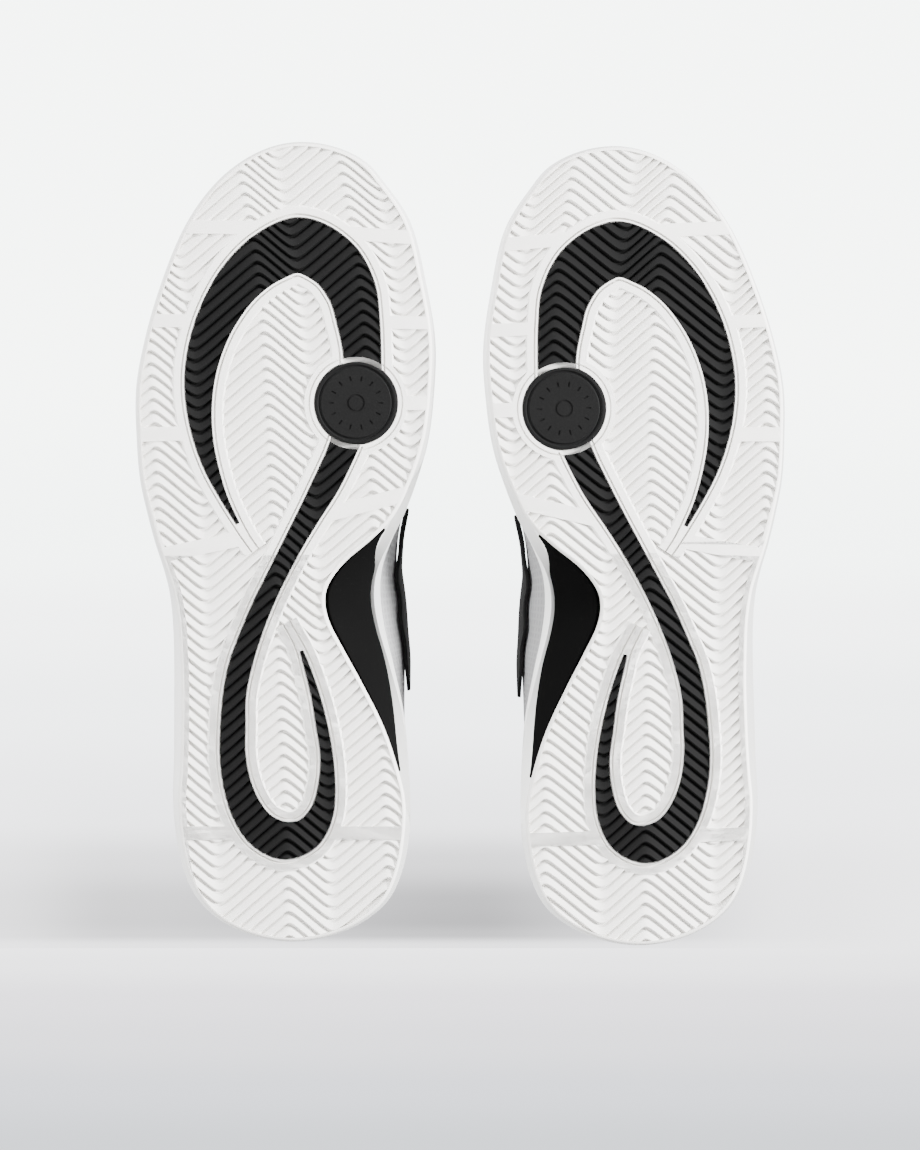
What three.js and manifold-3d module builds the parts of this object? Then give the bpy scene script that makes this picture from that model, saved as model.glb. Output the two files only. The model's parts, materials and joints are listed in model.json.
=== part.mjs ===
// A pair of low cheer shoes, standing side by side on their soles.
// Each shoe is drawn once in its own frame: y runs from the back of the heel to the toe, x points to the
// inner (medial) side of the foot and z points up from the floor. That is a left shoe. The right shoe is its
// mirror image. In the finished frame the toes point to -Y and the right shoe stands at -X.
// Places around a shoe are given by a turn value t: 0 is the back of the heel, 1 (or -1) the toe tip,
// positive on the medial side and negative on the lateral side.

import * as THREE from 'three';
import Module from 'manifold-3d';
import { mergeVertices } from 'three/addons/utils/BufferGeometryUtils.js';

const wasm = await Module();
wasm.setup();

// ---------------------------------------------------------------- driving dimensions (mm)
const soleLength = 260;
const ballWidth = 95.5;
const gap = 0.35; // clearance between touching pieces
const treadThickness = 3.6; // outsole rubber, lugs included
const treadEdge = 1.6; // rounding of the outsole's lower edge
const insertDepth = 2.2; // depth of the channels that hold the black inserts
const heelStack = 20; // floor to the foot bed under the heel
const foreStack = 12.5; // floor to the foot bed under the ball
const toeSpring = 5; // rise of the sole at the toe tip
const rimHeight = 3; // midsole rim above the foot bed
const rimWidth = 2.8;
const discRadius = 13.4;
const discCollar = 1.3; // white ring between the disc and the loops
const wrapThickness = 1.8; // arch wrap
const wrapSlack = 1.2; // bedding of the arch wrap on the midsole
const upperThickness = 1.6;
const overlayThickness = 1.1;
const layerGap = 0.6; // clearance between curved layers inside the upper
const overlayGap = 0.9; // clearance under the overlays
const boardThickness = 1.2;
const insoleThickness = 3.5;
const tongueThickness = 4.5;
const eyeletPairs = 6;
const eyeletRadius = 2.3;
const laceRadius = 1.15;
const heelSpacing = 114; // between the two shoes' centre lines at the heel
const leftSetback = 1.2; // the left shoe stands this much further back
const leftToeIn = THREE.MathUtils.degToRad(1.55);

// The outlines below are drawn for this sole and stretched to the sizes above.
const drawn = { length: 260, width: 95.5 };
const stretch = { x: ballWidth / drawn.width, y: soleLength / drawn.length };
const upperHeight = 63; // foot bed to the highest point of the throat
const drawnUpperHeight = 63;

const stationsRound = 52; // points round a sole outline
const { clamp, lerp, smoothstep } = THREE.MathUtils;

// ---------------------------------------------------------------- materials
const finishes = {
  whiteRubber: { color: '#efeeea', roughness: 0.55 },
  blackRubber: { color: '#2b2b2b', roughness: 0.6 },
  blackPlastic: { color: '#282828', roughness: 0.45 },
  whiteFoam: { color: '#f1f0ed', roughness: 0.6 },
  whiteSynthetic: { color: '#f2f2f0', roughness: 0.45 },
  greyMesh: { color: '#c6c6c6', roughness: 0.8 },
  greyLining: { color: '#9c9c9f', roughness: 0.9 },
  stiffener: { color: '#d8d2c4', roughness: 0.7 },
  whiteLace: { color: '#f5f5f3', roughness: 0.85 },
};

// ---------------------------------------------------------------- curves
const turnOf = (yDrawn) => Math.acos(1 - (2 * yDrawn) / drawn.length) / Math.PI;
const lengthAt = (t) => (soleLength * (1 - Math.cos(Math.PI * t))) / 2;

// Rows of [y, value, ...] along the foot become a smooth function of the turn value.
function profile(rows) {
  const size = rows[0].length - 1;
  const knots = rows.map((row) => turnOf(row[0]));
  const values = rows.flatMap((row) => row.slice(1));
  const spline = new THREE.CubicInterpolant(knots, values, size, new Float64Array(size));
  return (t) => Array.from(spline.evaluate(Math.abs(t)));
}

// Half outlines of the tread on the floor: y, lateral x, medial x. The medial side is cut in at the arch.
const treadOutline = profile([
  [0, 0, 0], [7, -23, 23], [13, -29.2, 29.8], [20, -32.9, 33.5], [33, -36, 36.4], [46, -37, 36.7],
  [56, -36.4, 34.4], [70, -36, 29.6], [85, -36, 22.1], [95, -36.4, 16.6], [104, -37, 12], [109.5, -37.8, 10.7],
  [114.5, -38.8, 11.2], [119.5, -40.4, 14], [124, -42, 18], [130, -44, 25.2], [137, -45.9, 32.2],
  [150, -48.9, 38.8], [163, -50, 43], [180, -50.2, 45.1], [195, -47.6, 45.5], [215, -41.8, 42.3],
  [234, -33.8, 37.4], [247, -24.4, 28.9], [254, -16, 22.5], [260, 2.6, 2.6],
]);

// Half outlines of the top of the midsole, which carries on past the arch cut.
const rimOutline = profile([
  [0, 0, 0], [7, -24, 23.6], [13, -30.5, 30.4], [20, -34.5, 34], [33, -37.8, 37], [46, -38.9, 37.4],
  [60, -38.7, 37], [75, -38.7, 35.6], [90, -38.6, 32.4], [102, -38.8, 29.6], [112, -39.6, 28.3],
  [121, -41.4, 28.8], [130, -44.2, 31.6], [140, -46.8, 36], [150, -48.9, 39.6], [163, -50, 43.2],
  [180, -50.2, 45.2], [195, -47.6, 45.5], [215, -41.8, 42.3], [234, -33.8, 37.4], [247, -24.4, 28.9],
  [254, -16, 22.5], [260, 2.6, 2.6],
]);

const archWrapFrom = turnOf(55);
const archWrapTo = turnOf(134);

// Turn values past the toe tip carry on along the other side.
function wrapTurn(t) {
  if (t > 1) return t - 2;
  if (t < -1) return t + 2;
  return t;
}

const liftAt = (y) => toeSpring * (Math.max(0, y / stretch.y - 195) / 65) ** 2;
const footBedAt = (y) => lerp(heelStack, foreStack, smoothstep(y / stretch.y, 70, 180)) + liftAt(y);

// A point of the outline that lies between the tread (0) and the midsole rim (1).
function outlinePoint(turn, blend) {
  const t = wrapTurn(turn);
  const side = t < 0 ? 0 : 1;
  const x = lerp(treadOutline(t)[side], rimOutline(t)[side], blend);
  return new THREE.Vector2(x * stretch.x, lengthAt(t));
}

function offsetOutline(t, blend, offset) {
  const step = 0.002;
  const along = outlinePoint(t + step, blend).sub(outlinePoint(t - step, blend)).normalize();
  return outlinePoint(t, blend).add(new THREE.Vector2(along.y, -along.x).multiplyScalar(offset));
}

function ring(blend, offset, heightAt) {
  const points = [];
  for (let i = 0; i < stationsRound; i += 1) {
    const t = -1 + (2 * i) / stationsRound;
    const p = offsetOutline(t, blend, typeof offset === 'function' ? offset(t) : offset);
    points.push(new THREE.Vector3(p.x, p.y, heightAt(p.y)));
  }
  return points;
}

// ---------------------------------------------------------------- solids
function closedGeometry(points, triangles) {
  const geometry = new THREE.BufferGeometry();
  geometry.setAttribute('position', new THREE.Float32BufferAttribute(points.flatMap((p) => p.toArray()), 3));
  geometry.setIndex(triangles.flat());
  return mergeVertices(geometry, 1e-3);
}

// A solid from outline rings stacked from the bottom up, closed by strips across the first and last ring.
function ringSolid(rings) {
  const count = rings[0].length;
  const triangles = [];
  const add = (a, b, c) => {
    if (a !== b && b !== c && a !== c) triangles.push([a, b, c]);
  };
  for (let level = 0; level < rings.length - 1; level += 1) {
    for (let i = 0; i < count; i += 1) {
      const next = (i + 1) % count;
      const low = level * count;
      const high = low + count;
      add(low + i, low + next, high + next);
      add(low + i, high + next, high + i);
    }
  }
  const top = (rings.length - 1) * count;
  for (let i = 0; i < count / 2; i += 1) {
    const far = (count - i) % count;
    add(top + i, top + i + 1, top + count - i - 1);
    add(top + i, top + count - i - 1, top + far);
    add(i, count - i - 1, i + 1);
    add(i, far, count - i - 1);
  }
  return closedGeometry(rings.flat(), triangles);
}

function surfaceNormal(surface, t, s) {
  const step = 0.004;
  const along = surface(t + step, s).sub(surface(t - step, s));
  const up = surface(t, s + step).sub(surface(t, s - step));
  return along.cross(up).normalize();
}

// A sheet of a surface between two skins, measured outwards from it. A zipped sheet meets itself at s = 1.
function panel(surface, { t, s, cells, skin, zipped = false }) {
  const [columns, rows] = cells;
  const inner = [];
  const outer = [];
  for (let i = 0; i <= columns; i += 1) {
    const turn = lerp(t[0], t[1], i / columns);
    const [low, high] = s.map((edge) => (typeof edge === 'function' ? edge(turn) : edge));
    for (let j = 0; j <= rows; j += 1) {
      const height = lerp(low, high, j / rows);
      const depth = typeof skin === 'function' ? skin(turn, height) : skin;
      const normal = surfaceNormal(surface, turn, height);
      inner.push(surface(turn, height).addScaledVector(normal, depth[0]));
      outer.push(surface(turn, height).addScaledVector(normal, depth[1]));
    }
  }
  const outside = inner.length;
  const twin = (i, j) => (zipped && j === rows && i > columns / 2 ? columns - i : i);
  const at = (i, j) => twin(i, j) * (rows + 1) + j;
  const triangles = [];
  const quad = (a, b, c, d) => triangles.push([a, b, c], [a, c, d]);
  for (let i = 0; i < columns; i += 1) {
    for (let j = 0; j < rows; j += 1) {
      quad(outside + at(i, j), outside + at(i + 1, j), outside + at(i + 1, j + 1), outside + at(i, j + 1));
      quad(at(i, j), at(i, j + 1), at(i + 1, j + 1), at(i + 1, j));
    }
    quad(at(i, 0), at(i + 1, 0), outside + at(i + 1, 0), outside + at(i, 0));
    if (!zipped) {
      quad(at(i + 1, rows), at(i, rows), outside + at(i, rows), outside + at(i + 1, rows));
    }
  }
  for (let j = 0; j < rows; j += 1) {
    quad(at(0, j + 1), at(0, j), outside + at(0, j), outside + at(0, j + 1));
    quad(at(columns, j), at(columns, j + 1), outside + at(columns, j + 1), outside + at(columns, j));
  }
  return closedGeometry([...inner, ...outer], triangles);
}

// A flat ribbon along a line of [x, y, half width], between two heights above the curved tread.
function ribbon(line, samples, grow, low, high) {
  const curve = new THREE.CatmullRomCurve3(line.map((row) => new THREE.Vector3(...row)), false, 'centripetal');
  const points = [];
  for (let i = 0; i <= samples; i += 1) {
    const p = curve.getPoint(i / samples);
    const along = curve.getTangent(i / samples);
    const across = new THREE.Vector2(along.y, -along.x).normalize();
    const reach = p.z + grow;
    for (const hand of [1, -1]) {
      const x = (p.x + hand * across.x * reach) * stretch.x;
      const y = (p.y + hand * across.y * reach) * stretch.y;
      points.push(new THREE.Vector3(x, y, low + liftAt(y)), new THREE.Vector3(x, y, high + liftAt(y)));
    }
  }
  const triangles = [];
  const quad = (a, b, c, d) => triangles.push([a, b, c], [a, c, d]);
  for (let i = 0; i < samples; i += 1) {
    const a = i * 4;
    const b = a + 4;
    quad(a + 1, b + 1, b + 3, a + 3);
    quad(a, a + 2, b + 2, b);
    quad(a, b, b + 1, a + 1);
    quad(a + 2, a + 3, b + 3, b + 2);
  }
  const end = samples * 4;
  quad(0, 1, 3, 2);
  quad(end, end + 2, end + 3, end + 1);
  return closedGeometry(points, triangles);
}

function tube(points, radius, sides, perSpan) {
  const curve = new THREE.CatmullRomCurve3(points, false, 'centripetal');
  const steps = (points.length - 1) * perSpan;
  const places = [];
  let across = new THREE.Vector3(0, 1, 0);
  for (let i = 0; i <= steps; i += 1) {
    const centre = curve.getPoint(i / steps);
    const along = curve.getTangent(i / steps);
    across = across.addScaledVector(along, -across.dot(along)).normalize();
    const other = along.clone().cross(across);
    for (let k = 0; k < sides; k += 1) {
      const angle = (2 * Math.PI * k) / sides;
      const p = centre.clone().addScaledVector(across, radius * Math.cos(angle));
      places.push(p.addScaledVector(other, radius * Math.sin(angle)));
    }
  }
  const triangles = [];
  for (let i = 0; i < steps; i += 1) {
    for (let k = 0; k < sides; k += 1) {
      const a = i * sides + k;
      const b = i * sides + ((k + 1) % sides);
      triangles.push([a, b, b + sides], [a, b + sides, a + sides]);
    }
  }
  for (let k = 1; k < sides - 1; k += 1) {
    triangles.push([0, k + 1, k]);
    triangles.push([steps * sides, steps * sides + k, steps * sides + k + 1]);
  }
  return closedGeometry(places, triangles);
}

function toSolid(geometry) {
  const bare = new THREE.BufferGeometry();
  bare.setAttribute('position', geometry.getAttribute('position').clone());
  bare.setIndex(geometry.getIndex() ?? null);
  const merged = mergeVertices(bare, 1e-3);
  const vertProperties = new Float32Array(merged.getAttribute('position').array);
  const triVerts = new Uint32Array(merged.getIndex().array);
  return new wasm.Manifold(new wasm.Mesh({ numProp: 3, vertProperties, triVerts }));
}

function fromSolid(solid) {
  const { vertProperties, triVerts } = solid.getMesh();
  const geometry = new THREE.BufferGeometry();
  geometry.setAttribute('position', new THREE.BufferAttribute(vertProperties, 3));
  geometry.setIndex(new THREE.BufferAttribute(triVerts, 1));
  return geometry;
}

function cutAway(geometry, cutters) {
  return fromSolid(cutters.reduce((rest, cutter) => rest.subtract(toSolid(cutter)), toSolid(geometry)));
}

function uprightCylinder(radius, low, high, x, y) {
  return new THREE.CylinderGeometry(radius, radius, high - low, 24)
    .rotateX(Math.PI / 2)
    .translate(x, y, (low + high) / 2);
}

// ---------------------------------------------------------------- sole
const disc = { x: 20.8 * stretch.x, y: 174.9 * stretch.y };

// Centre lines of the black tread ribbons: x, y, half width.
const forefootLine = [
  [-17.6, 135.6, 0.35], [-21.8, 143.3, 0.95], [-26, 153.1, 2.1], [-28.8, 162.8, 3], [-30.2, 172.6, 3.9],
  [-30.1, 182.3, 4.7], [-28.3, 192.1, 5.4], [-24.2, 203, 6.2], [-17.1, 214.2, 7.2], [-8.4, 222, 8.2],
  [2.2, 226.3, 8.9], [13.6, 220.6, 8.5], [19.6, 211, 7.7], [21.5, 201.8, 6.9], [22.7, 192.1, 6.1],
  [22.9, 184, 6],
];
const heelLine = [
  [17.6, 163, 4.6], [15.6, 158, 4.4], [10.9, 148.2, 4.2], [5.5, 138.5, 3.5], [0.1, 128.7, 3.05],
  [-4.9, 119, 2.9], [-9.6, 109.2, 3.05], [-13.5, 99.5, 3.25], [-16.8, 89.7, 3.6], [-18.7, 80, 3.6],
  [-19.2, 70.2, 3.9], [-19.3, 60.5, 4.05], [-17.8, 50.7, 4.4], [-14.4, 41.8, 5], [-9.6, 35.7, 5.6],
  [-2.2, 32.6, 6], [5.2, 35, 5], [9.6, 41.5, 3.7], [11.3, 50.7, 2.6], [11.2, 60.5, 1.9], [9.6, 70.2, 1.75],
  [7.5, 80, 1.25], [4.6, 89.7, 0.75], [3, 94.4, 0.35],
];

const forefootSamples = 26;
const heelSamples = 36;

function outsole() {
  const slab = ringSolid([
    ring(0, -treadEdge, liftAt),
    ring(0, 0, (y) => liftAt(y) + treadEdge),
    ring(0, 0, (y) => liftAt(y) + treadThickness),
  ]);
  return cutAway(slab, [
    ribbon(forefootLine, forefootSamples, gap, -2, insertDepth),
    ribbon(heelLine, heelSamples, gap, -2, insertDepth),
    uprightCylinder(discRadius + gap, -2, insertDepth + gap, disc.x, disc.y),
  ]);
}

function treadLoop(line, samples) {
  const collar = uprightCylinder(discRadius + discCollar + gap, -5, 10, disc.x, disc.y);
  return cutAway(ribbon(line, samples, 0, 0, insertDepth - gap), [collar]);
}

function pivotDisc() {
  const groove = { inner: 11.4, outer: 12.3, depth: 0.5 };
  const profilePoints = [
    [0, 0], [groove.inner, 0], [groove.inner + 0.2, groove.depth], [groove.outer, groove.depth],
    [groove.outer + 0.2, 0], [discRadius - 0.5, 0], [discRadius, 0.5], [discRadius, insertDepth], [0, insertDepth],
  ].map(([r, z]) => new THREE.Vector2(r, z));
  return new THREE.LatheGeometry(profilePoints, 24)
    .rotateX(Math.PI / 2)
    .translate(disc.x, disc.y, 0);
}

// The side of the midsole: level 0 at the tread, 1 at the rim. At the arch it leans out over the cut.
function flank(t, level) {
  const bulge = 1.1 * Math.sin(Math.PI * clamp(level, 0, 1));
  const p = offsetOutline(t, Math.sin((Math.PI / 2) * level), bulge);
  const low = liftAt(p.y) + treadThickness + gap;
  return new THREE.Vector3(p.x, p.y, lerp(low, footBedAt(p.y) + rimHeight, level));
}

function wrapRecess(t) {
  const rise = smoothstep(t, archWrapFrom - 0.06, archWrapFrom - 0.02);
  const fall = 1 - smoothstep(t, archWrapTo + 0.02, archWrapTo + 0.06);
  return (wrapThickness + wrapSlack) * rise * fall;
}

const wrapTop = 0.6; // the arch wrap covers this share of the flank

// The rim thins to a lip at the arch, where the upper leans out over it.
function rimWidthAt(t) {
  const arch = smoothstep(t, turnOf(50), turnOf(85)) * (1 - smoothstep(t, turnOf(125), turnOf(155)));
  return rimWidth * (1 - 0.8 * arch);
}

function midsole() {
  const levels = [0, wrapTop / 2, wrapTop, wrapTop + 0.08, 1];
  const rings = levels.map((level) => {
    const points = [];
    for (let i = 0; i < stationsRound; i += 1) {
      const t = -1 + (2 * i) / stationsRound;
      const depth = level <= wrapTop ? wrapRecess(t) : 0;
      points.push(flank(t, level).addScaledVector(surfaceNormal(flank, t, level), -depth));
    }
    return points;
  });
  rings.push(ring(1, (t) => -rimWidthAt(t), (y) => footBedAt(y) + rimHeight));
  rings.push(ring(1, -rimWidth - 0.3, footBedAt));
  return ringSolid(rings);
}

function archWrap() {
  return panel(flank, { t: [archWrapFrom, archWrapTo], s: [0.03, wrapTop - 0.03], cells: [12, 2],
    skin: [-wrapThickness, 0] });
}

const upperInset = rimWidth + 0.3 + gap; // outer skin of the upper inside the midsole rim

function lastingBoard() {
  const inset = -(upperInset + upperThickness + gap);
  const low = (y) => footBedAt(y) + gap;
  return ringSolid([ring(1, inset, low), ring(1, inset, (y) => low(y) + boardThickness)]);
}

function insole() {
  const cup = 3; // raised edge round the heel
  const edge = (t) => -(upperInset + upperThickness + lerp(5.2, 2.6, smoothstep(lengthAt(t) / stretch.y, 90, 150)));
  const low = (y) => footBedAt(y) + gap + boardThickness + gap;
  const raised = (y) => low(y) + insoleThickness + cup * (1 - smoothstep(y / stretch.y, 90, 150));
  return ringSolid([
    ring(1, (t) => edge(t) - 1, low),
    ring(1, edge, (y) => low(y) + 1.5),
    ring(1, edge, raised),
    ring(1, (t) => edge(t) - 2, raised),
    ring(1, (t) => edge(t) - 8, (y) => low(y) + insoleThickness),
  ]);
}

// ---------------------------------------------------------------- upper
const throatFront = turnOf(174);

// The free edge of the upper and, past the throat, its ridge: y along the foot, half width, height.
const edgeRows = profile([
  [0, 5, 0, 50], [8, 9.5, 14, 49.5], [20, 20, 22.5, 47.5], [40, 40, 27.5, 43.5], [60, 60, 29.5, 41.5],
  [75, 74.5, 28.5, 45], [88, 88, 24.5, 53.5], [98, 98, 18, 61.5], [106, 106, 14.8, 63], [120, 120, 13.5, 60],
  [140, 140, 12.5, 54.5], [158, 158, 11, 48.5], [168, 168, 7, 45.6], [174, 173, 0, 44.2],
  [190, 187, 0, 40.6], [210, 204, 0, 35.8], [230, 218, 0, 31.6], [250, 228, 0, 28.4], [260, 231, 0, 27.6],
]);

// Fullness of the walls: lateral bulge, medial bulge, share of the width and drop of the upper handle.
const fullness = profile([
  [0, 2.5, 2.5, 0.25, 15], [40, 2, 3, 0.3, 14], [75, 2, 9, 0.35, 14], [98, 2.5, 18, 0.5, 9],
  [110, 3, 20, 0.53, 8], [125, 3, 16, 0.56, 8], [140, 4, 9, 0.6, 7.5], [160, 5, 5, 0.6, 6.5],
  [174, 6, 5, 0.6, 0], [200, 7, 5, 0.62, 0], [230, 6, 6, 0.58, 0], [260, 5, 5, 0.5, 0],
]);

// The upper's outer skin: t goes round the shoe and s climbs from the sole to the free edge or the ridge.
function upperSkin(turn, climb) {
  let t = wrapTurn(turn);
  let s = clamp(climb, -0.02, 1.02);
  const overRidge = Math.abs(t) >= throatFront;
  if (s > 1 && overRidge) {
    t = -t;
    s = 2 - s;
  }
  const medial = t < 0 ? 0 : 1;
  const [edgeY, edgeX, edgeH] = edgeRows(t);
  const [bulgeLateral, bulgeMedial, reach, drop] = fullness(t);
  const foot = offsetOutline(t, 1, -upperInset);
  const belly = offsetOutline(t, 1, -upperInset + (medial ? bulgeMedial : bulgeLateral));
  const low = footBedAt(foot.y) + gap;
  const ridgeX = 2.6 * smoothstep(Math.abs(t), throatFront, 1);
  const halfGap = overRidge ? 0 : Math.max(edgeX, 0);
  const edge = new THREE.Vector3((ridgeX + (medial ? halfGap : -halfGap)) * stretch.x, edgeY * stretch.y, 0);
  edge.z = footBedAt(edge.y) + (edgeH * upperHeight) / drawnUpperHeight;
  const handle = new THREE.Vector3(belly.x, belly.y, 0).sub(edge).multiplyScalar(reach).add(edge);
  handle.z = edge.z - (overRidge ? 0 : drop);
  return new THREE.CubicBezierCurve3(
    new THREE.Vector3(foot.x, foot.y, low),
    new THREE.Vector3(belly.x, belly.y, lerp(low, edge.z, 0.42)),
    handle,
    edge,
  ).getPoint(s);
}

const seam = 0.005 / stretch.x; // half of the gap at the back seam, as a turn value
const eyestayFrom = turnOf(95);
const eyestayTo = turnOf(170);
const eyestayEdge = 0.78;
const underLayer = [-upperThickness, 0];
const overLayer = [overlayGap, overlayGap + overlayThickness];
const stiffLayer = [-upperThickness - layerGap - 1.2, -upperThickness - layerGap];
const liningLayer = [stiffLayer[0] - layerGap - 0.9, stiffLayer[0] - layerGap];

// Both sides of the shoe are given by the medial range; the lateral one is its mirror.
const sideRange = (hand, from, to) => (hand > 0 ? [from, to] : [-to, -from]);

function vamp() {
  return panel(upperSkin, { t: [throatFront + 0.003, 2 - throatFront - 0.003], s: [0, 1], cells: [20, 5],
    skin: underLayer, zipped: true });
}

function toeCap() {
  const from = turnOf(206);
  const top = (t) => 0.34 + 0.2 * Math.cos(((t - 1) / (1 - from)) * (Math.PI / 2));
  return panel(upperSkin, { t: [from, 2 - from], s: [0.17, top], cells: [20, 3], skin: overLayer });
}

function toePuff() {
  const from = turnOf(222);
  return panel(upperSkin, { t: [from, 2 - from], s: [0.16, 0.8], cells: [8, 2], skin: stiffLayer });
}

function quarter(hand) {
  const top = (t) => 1 - (1 - eyestayEdge + 0.025) * smoothstep(Math.abs(t), eyestayFrom - 0.02, eyestayFrom);
  return panel(upperSkin, { t: sideRange(hand, seam, throatFront - 0.003), s: [0, top], cells: [16, 4],
    skin: underLayer });
}

const eyeletTurn = (row) => lerp(turnOf(103), turnOf(160), row / (eyeletPairs - 1));
const eyeletClimb = 0.9;

function eyestay(hand) {
  const strip = panel(upperSkin, { t: sideRange(hand, eyestayFrom + 0.006, eyestayTo), s: [eyestayEdge, 1],
    cells: [10, 1], skin: [-upperThickness, overlayThickness] });
  const holes = [];
  for (let row = 0; row < eyeletPairs; row += 1) {
    const t = hand * eyeletTurn(row);
    const middle = upperSkin(t, eyeletClimb);
    const axis = surfaceNormal(upperSkin, t, eyeletClimb);
    const hole = new THREE.CylinderGeometry(eyeletRadius, eyeletRadius, 10, 8);
    hole.applyQuaternion(new THREE.Quaternion().setFromUnitVectors(new THREE.Vector3(0, 1, 0), axis));
    holes.push(hole.translate(...middle.toArray()));
  }
  return cutAway(strip, holes);
}

function gripPanel(hand) {
  const from = turnOf(80);
  const to = turnOf(142);
  const wave = (t) => 0.012 * Math.cos(((Math.abs(t) - from) / (to - from)) * 8 * Math.PI);
  return panel(upperSkin, { t: sideRange(hand, from, to), s: [(t) => 0.16 + wave(t), 0.42], cells: [12, 2],
    skin: overLayer });
}

function heelTab() {
  const half = turnOf(13);
  return panel(upperSkin, { t: [-half, half], s: [0.3, 0.97], cells: [6, 3], skin: overLayer });
}

function heelCounter() {
  const half = turnOf(48);
  const top = (t) => 0.6 - 0.25 * smoothstep(Math.abs(t), half * 0.55, half);
  return panel(upperSkin, { t: [-half, half], s: [0.1, top], cells: [12, 2], skin: stiffLayer });
}

function heelLining() {
  const half = turnOf(94);
  return panel(upperSkin, { t: [-half, half], s: [0.16, 0.64], cells: [14, 2], skin: liningLayer });
}

function collar() {
  const half = turnOf(78);
  const padded = (t, s) => {
    const swell = Math.sin(Math.PI * clamp((s - 0.67) / 0.31, 0, 1));
    return [-upperThickness - layerGap - 1.6 - 3 * swell, -upperThickness - layerGap];
  };
  return panel(upperSkin, { t: [-half, half], s: [0.67, 0.98], cells: [16, 3], skin: padded });
}

// ---------------------------------------------------------------- tongue and lace
const tongueFront = 170;
const tongueBack = 80;
const tongueRows = profile([
  [tongueBack, 78, 14.5], [84, 74.5, 16.5], [90, 69, 17.5], [98, 62.6, 18.5], [106, 59.6, 19.5], [120, 56.2, 20],
  [140, 50.6, 18], [158, 44.4, 15.5], [tongueFront, 40.8, 12.5],
]);
const tongueCurl = 28; // radius of the tongue across the instep

// a runs across the tongue from -1 to 1 and b from its free top to its sewn front.
function tongueSkin(a, b) {
  const y = lerp(tongueBack, tongueFront, b);
  const [height, half] = tongueRows(turnOf(y));
  const x = a * half;
  const fall = tongueCurl - Math.sqrt(tongueCurl ** 2 - Math.min(Math.abs(x), tongueCurl - 1) ** 2);
  const z = footBedAt(y * stretch.y) + (height * upperHeight) / drawnUpperHeight - fall;
  return new THREE.Vector3(x * stretch.x, y * stretch.y, z);
}

function tongue() {
  return panel(tongueSkin, { t: [-1, 1], s: [0, 1], cells: [6, 8], skin: [-tongueThickness, 0] });
}

function lace() {
  const above = overlayThickness + 3 * gap + laceRadius;
  const below = upperThickness + 3 * gap + laceRadius;
  const point = (hand, row, height, climb = eyeletClimb) => {
    const t = hand * eyeletTurn(row);
    return upperSkin(t, climb).addScaledVector(surfaceNormal(upperSkin, t, climb), height);
  };
  const points = [];
  let hand = 1;
  for (let row = eyeletPairs - 1; row >= 0; row -= 1) {
    points.push(point(hand, row, -below), point(hand, row, -upperThickness / 2), point(hand, row, above));
    points.push(point(hand, row, above, 0.97), point(-hand, row, above, 0.97));
    points.push(point(-hand, row, above), point(-hand, row, -upperThickness / 2), point(-hand, row, -below));
    hand = -hand;
  }
  return tube(points, laceRadius, 6, 1);
}

// ---------------------------------------------------------------- assembly
function piece(name, geometry, finish) {
  geometry.deleteAttribute('normal');
  const mesh = new THREE.Mesh(geometry, new THREE.MeshStandardMaterial({ ...finishes[finish], metalness: 0 }));
  mesh.name = name;
  return mesh;
}

function shoe(side) {
  const made = new THREE.Group();
  const add = (name, geometry, finish) => made.add(piece(`${side}_${name}`, geometry, finish));
  add('outsole', outsole(), 'whiteRubber');
  add('forefoot_loop', treadLoop(forefootLine, forefootSamples), 'blackRubber');
  add('heel_loop', treadLoop(heelLine, heelSamples), 'blackRubber');
  add('pivot_disc', pivotDisc(), 'blackRubber');
  add('midsole', midsole(), 'whiteFoam');
  add('arch_wrap', archWrap(), 'blackPlastic');
  add('lasting_board', lastingBoard(), 'stiffener');
  add('insole', insole(), 'greyLining');
  add('vamp', vamp(), 'whiteSynthetic');
  add('toe_cap', toeCap(), 'whiteSynthetic');
  add('toe_puff', toePuff(), 'stiffener');
  add('medial_quarter', quarter(1), 'greyMesh');
  add('lateral_quarter', quarter(-1), 'greyMesh');
  add('medial_eyestay', eyestay(1), 'whiteSynthetic');
  add('lateral_eyestay', eyestay(-1), 'whiteSynthetic');
  add('medial_grip', gripPanel(1), 'blackRubber');
  add('lateral_grip', gripPanel(-1), 'blackRubber');
  add('heel_tab', heelTab(), 'whiteSynthetic');
  add('heel_counter', heelCounter(), 'stiffener');
  add('heel_lining', heelLining(), 'greyLining');
  add('collar', collar(), 'greyLining');
  add('tongue', tongue(), 'greyMesh');
  add('lace', lace(), 'whiteLace');
  return made;
}

const leftShoe = shoe('left');
leftShoe.rotation.z = Math.PI - leftToeIn;
leftShoe.position.set(heelSpacing / 2, leftSetback, 0);

const rightShoe = shoe('right');
rightShoe.rotation.z = Math.PI;
rightShoe.scale.x = -1;
rightShoe.position.set(-heelSpacing / 2, 0, 0);

// The pair stands on z = 0 with the middle of its box over the origin.
const pair = new THREE.Group();
pair.add(leftShoe, rightShoe);
pair.updateMatrixWorld(true);
const box = new THREE.Box3().setFromObject(pair, true);
const middle = box.getCenter(new THREE.Vector3());
pair.position.set(-middle.x, -middle.y, -box.min.z);

export default pair;
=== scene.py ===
import json
import math

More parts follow.
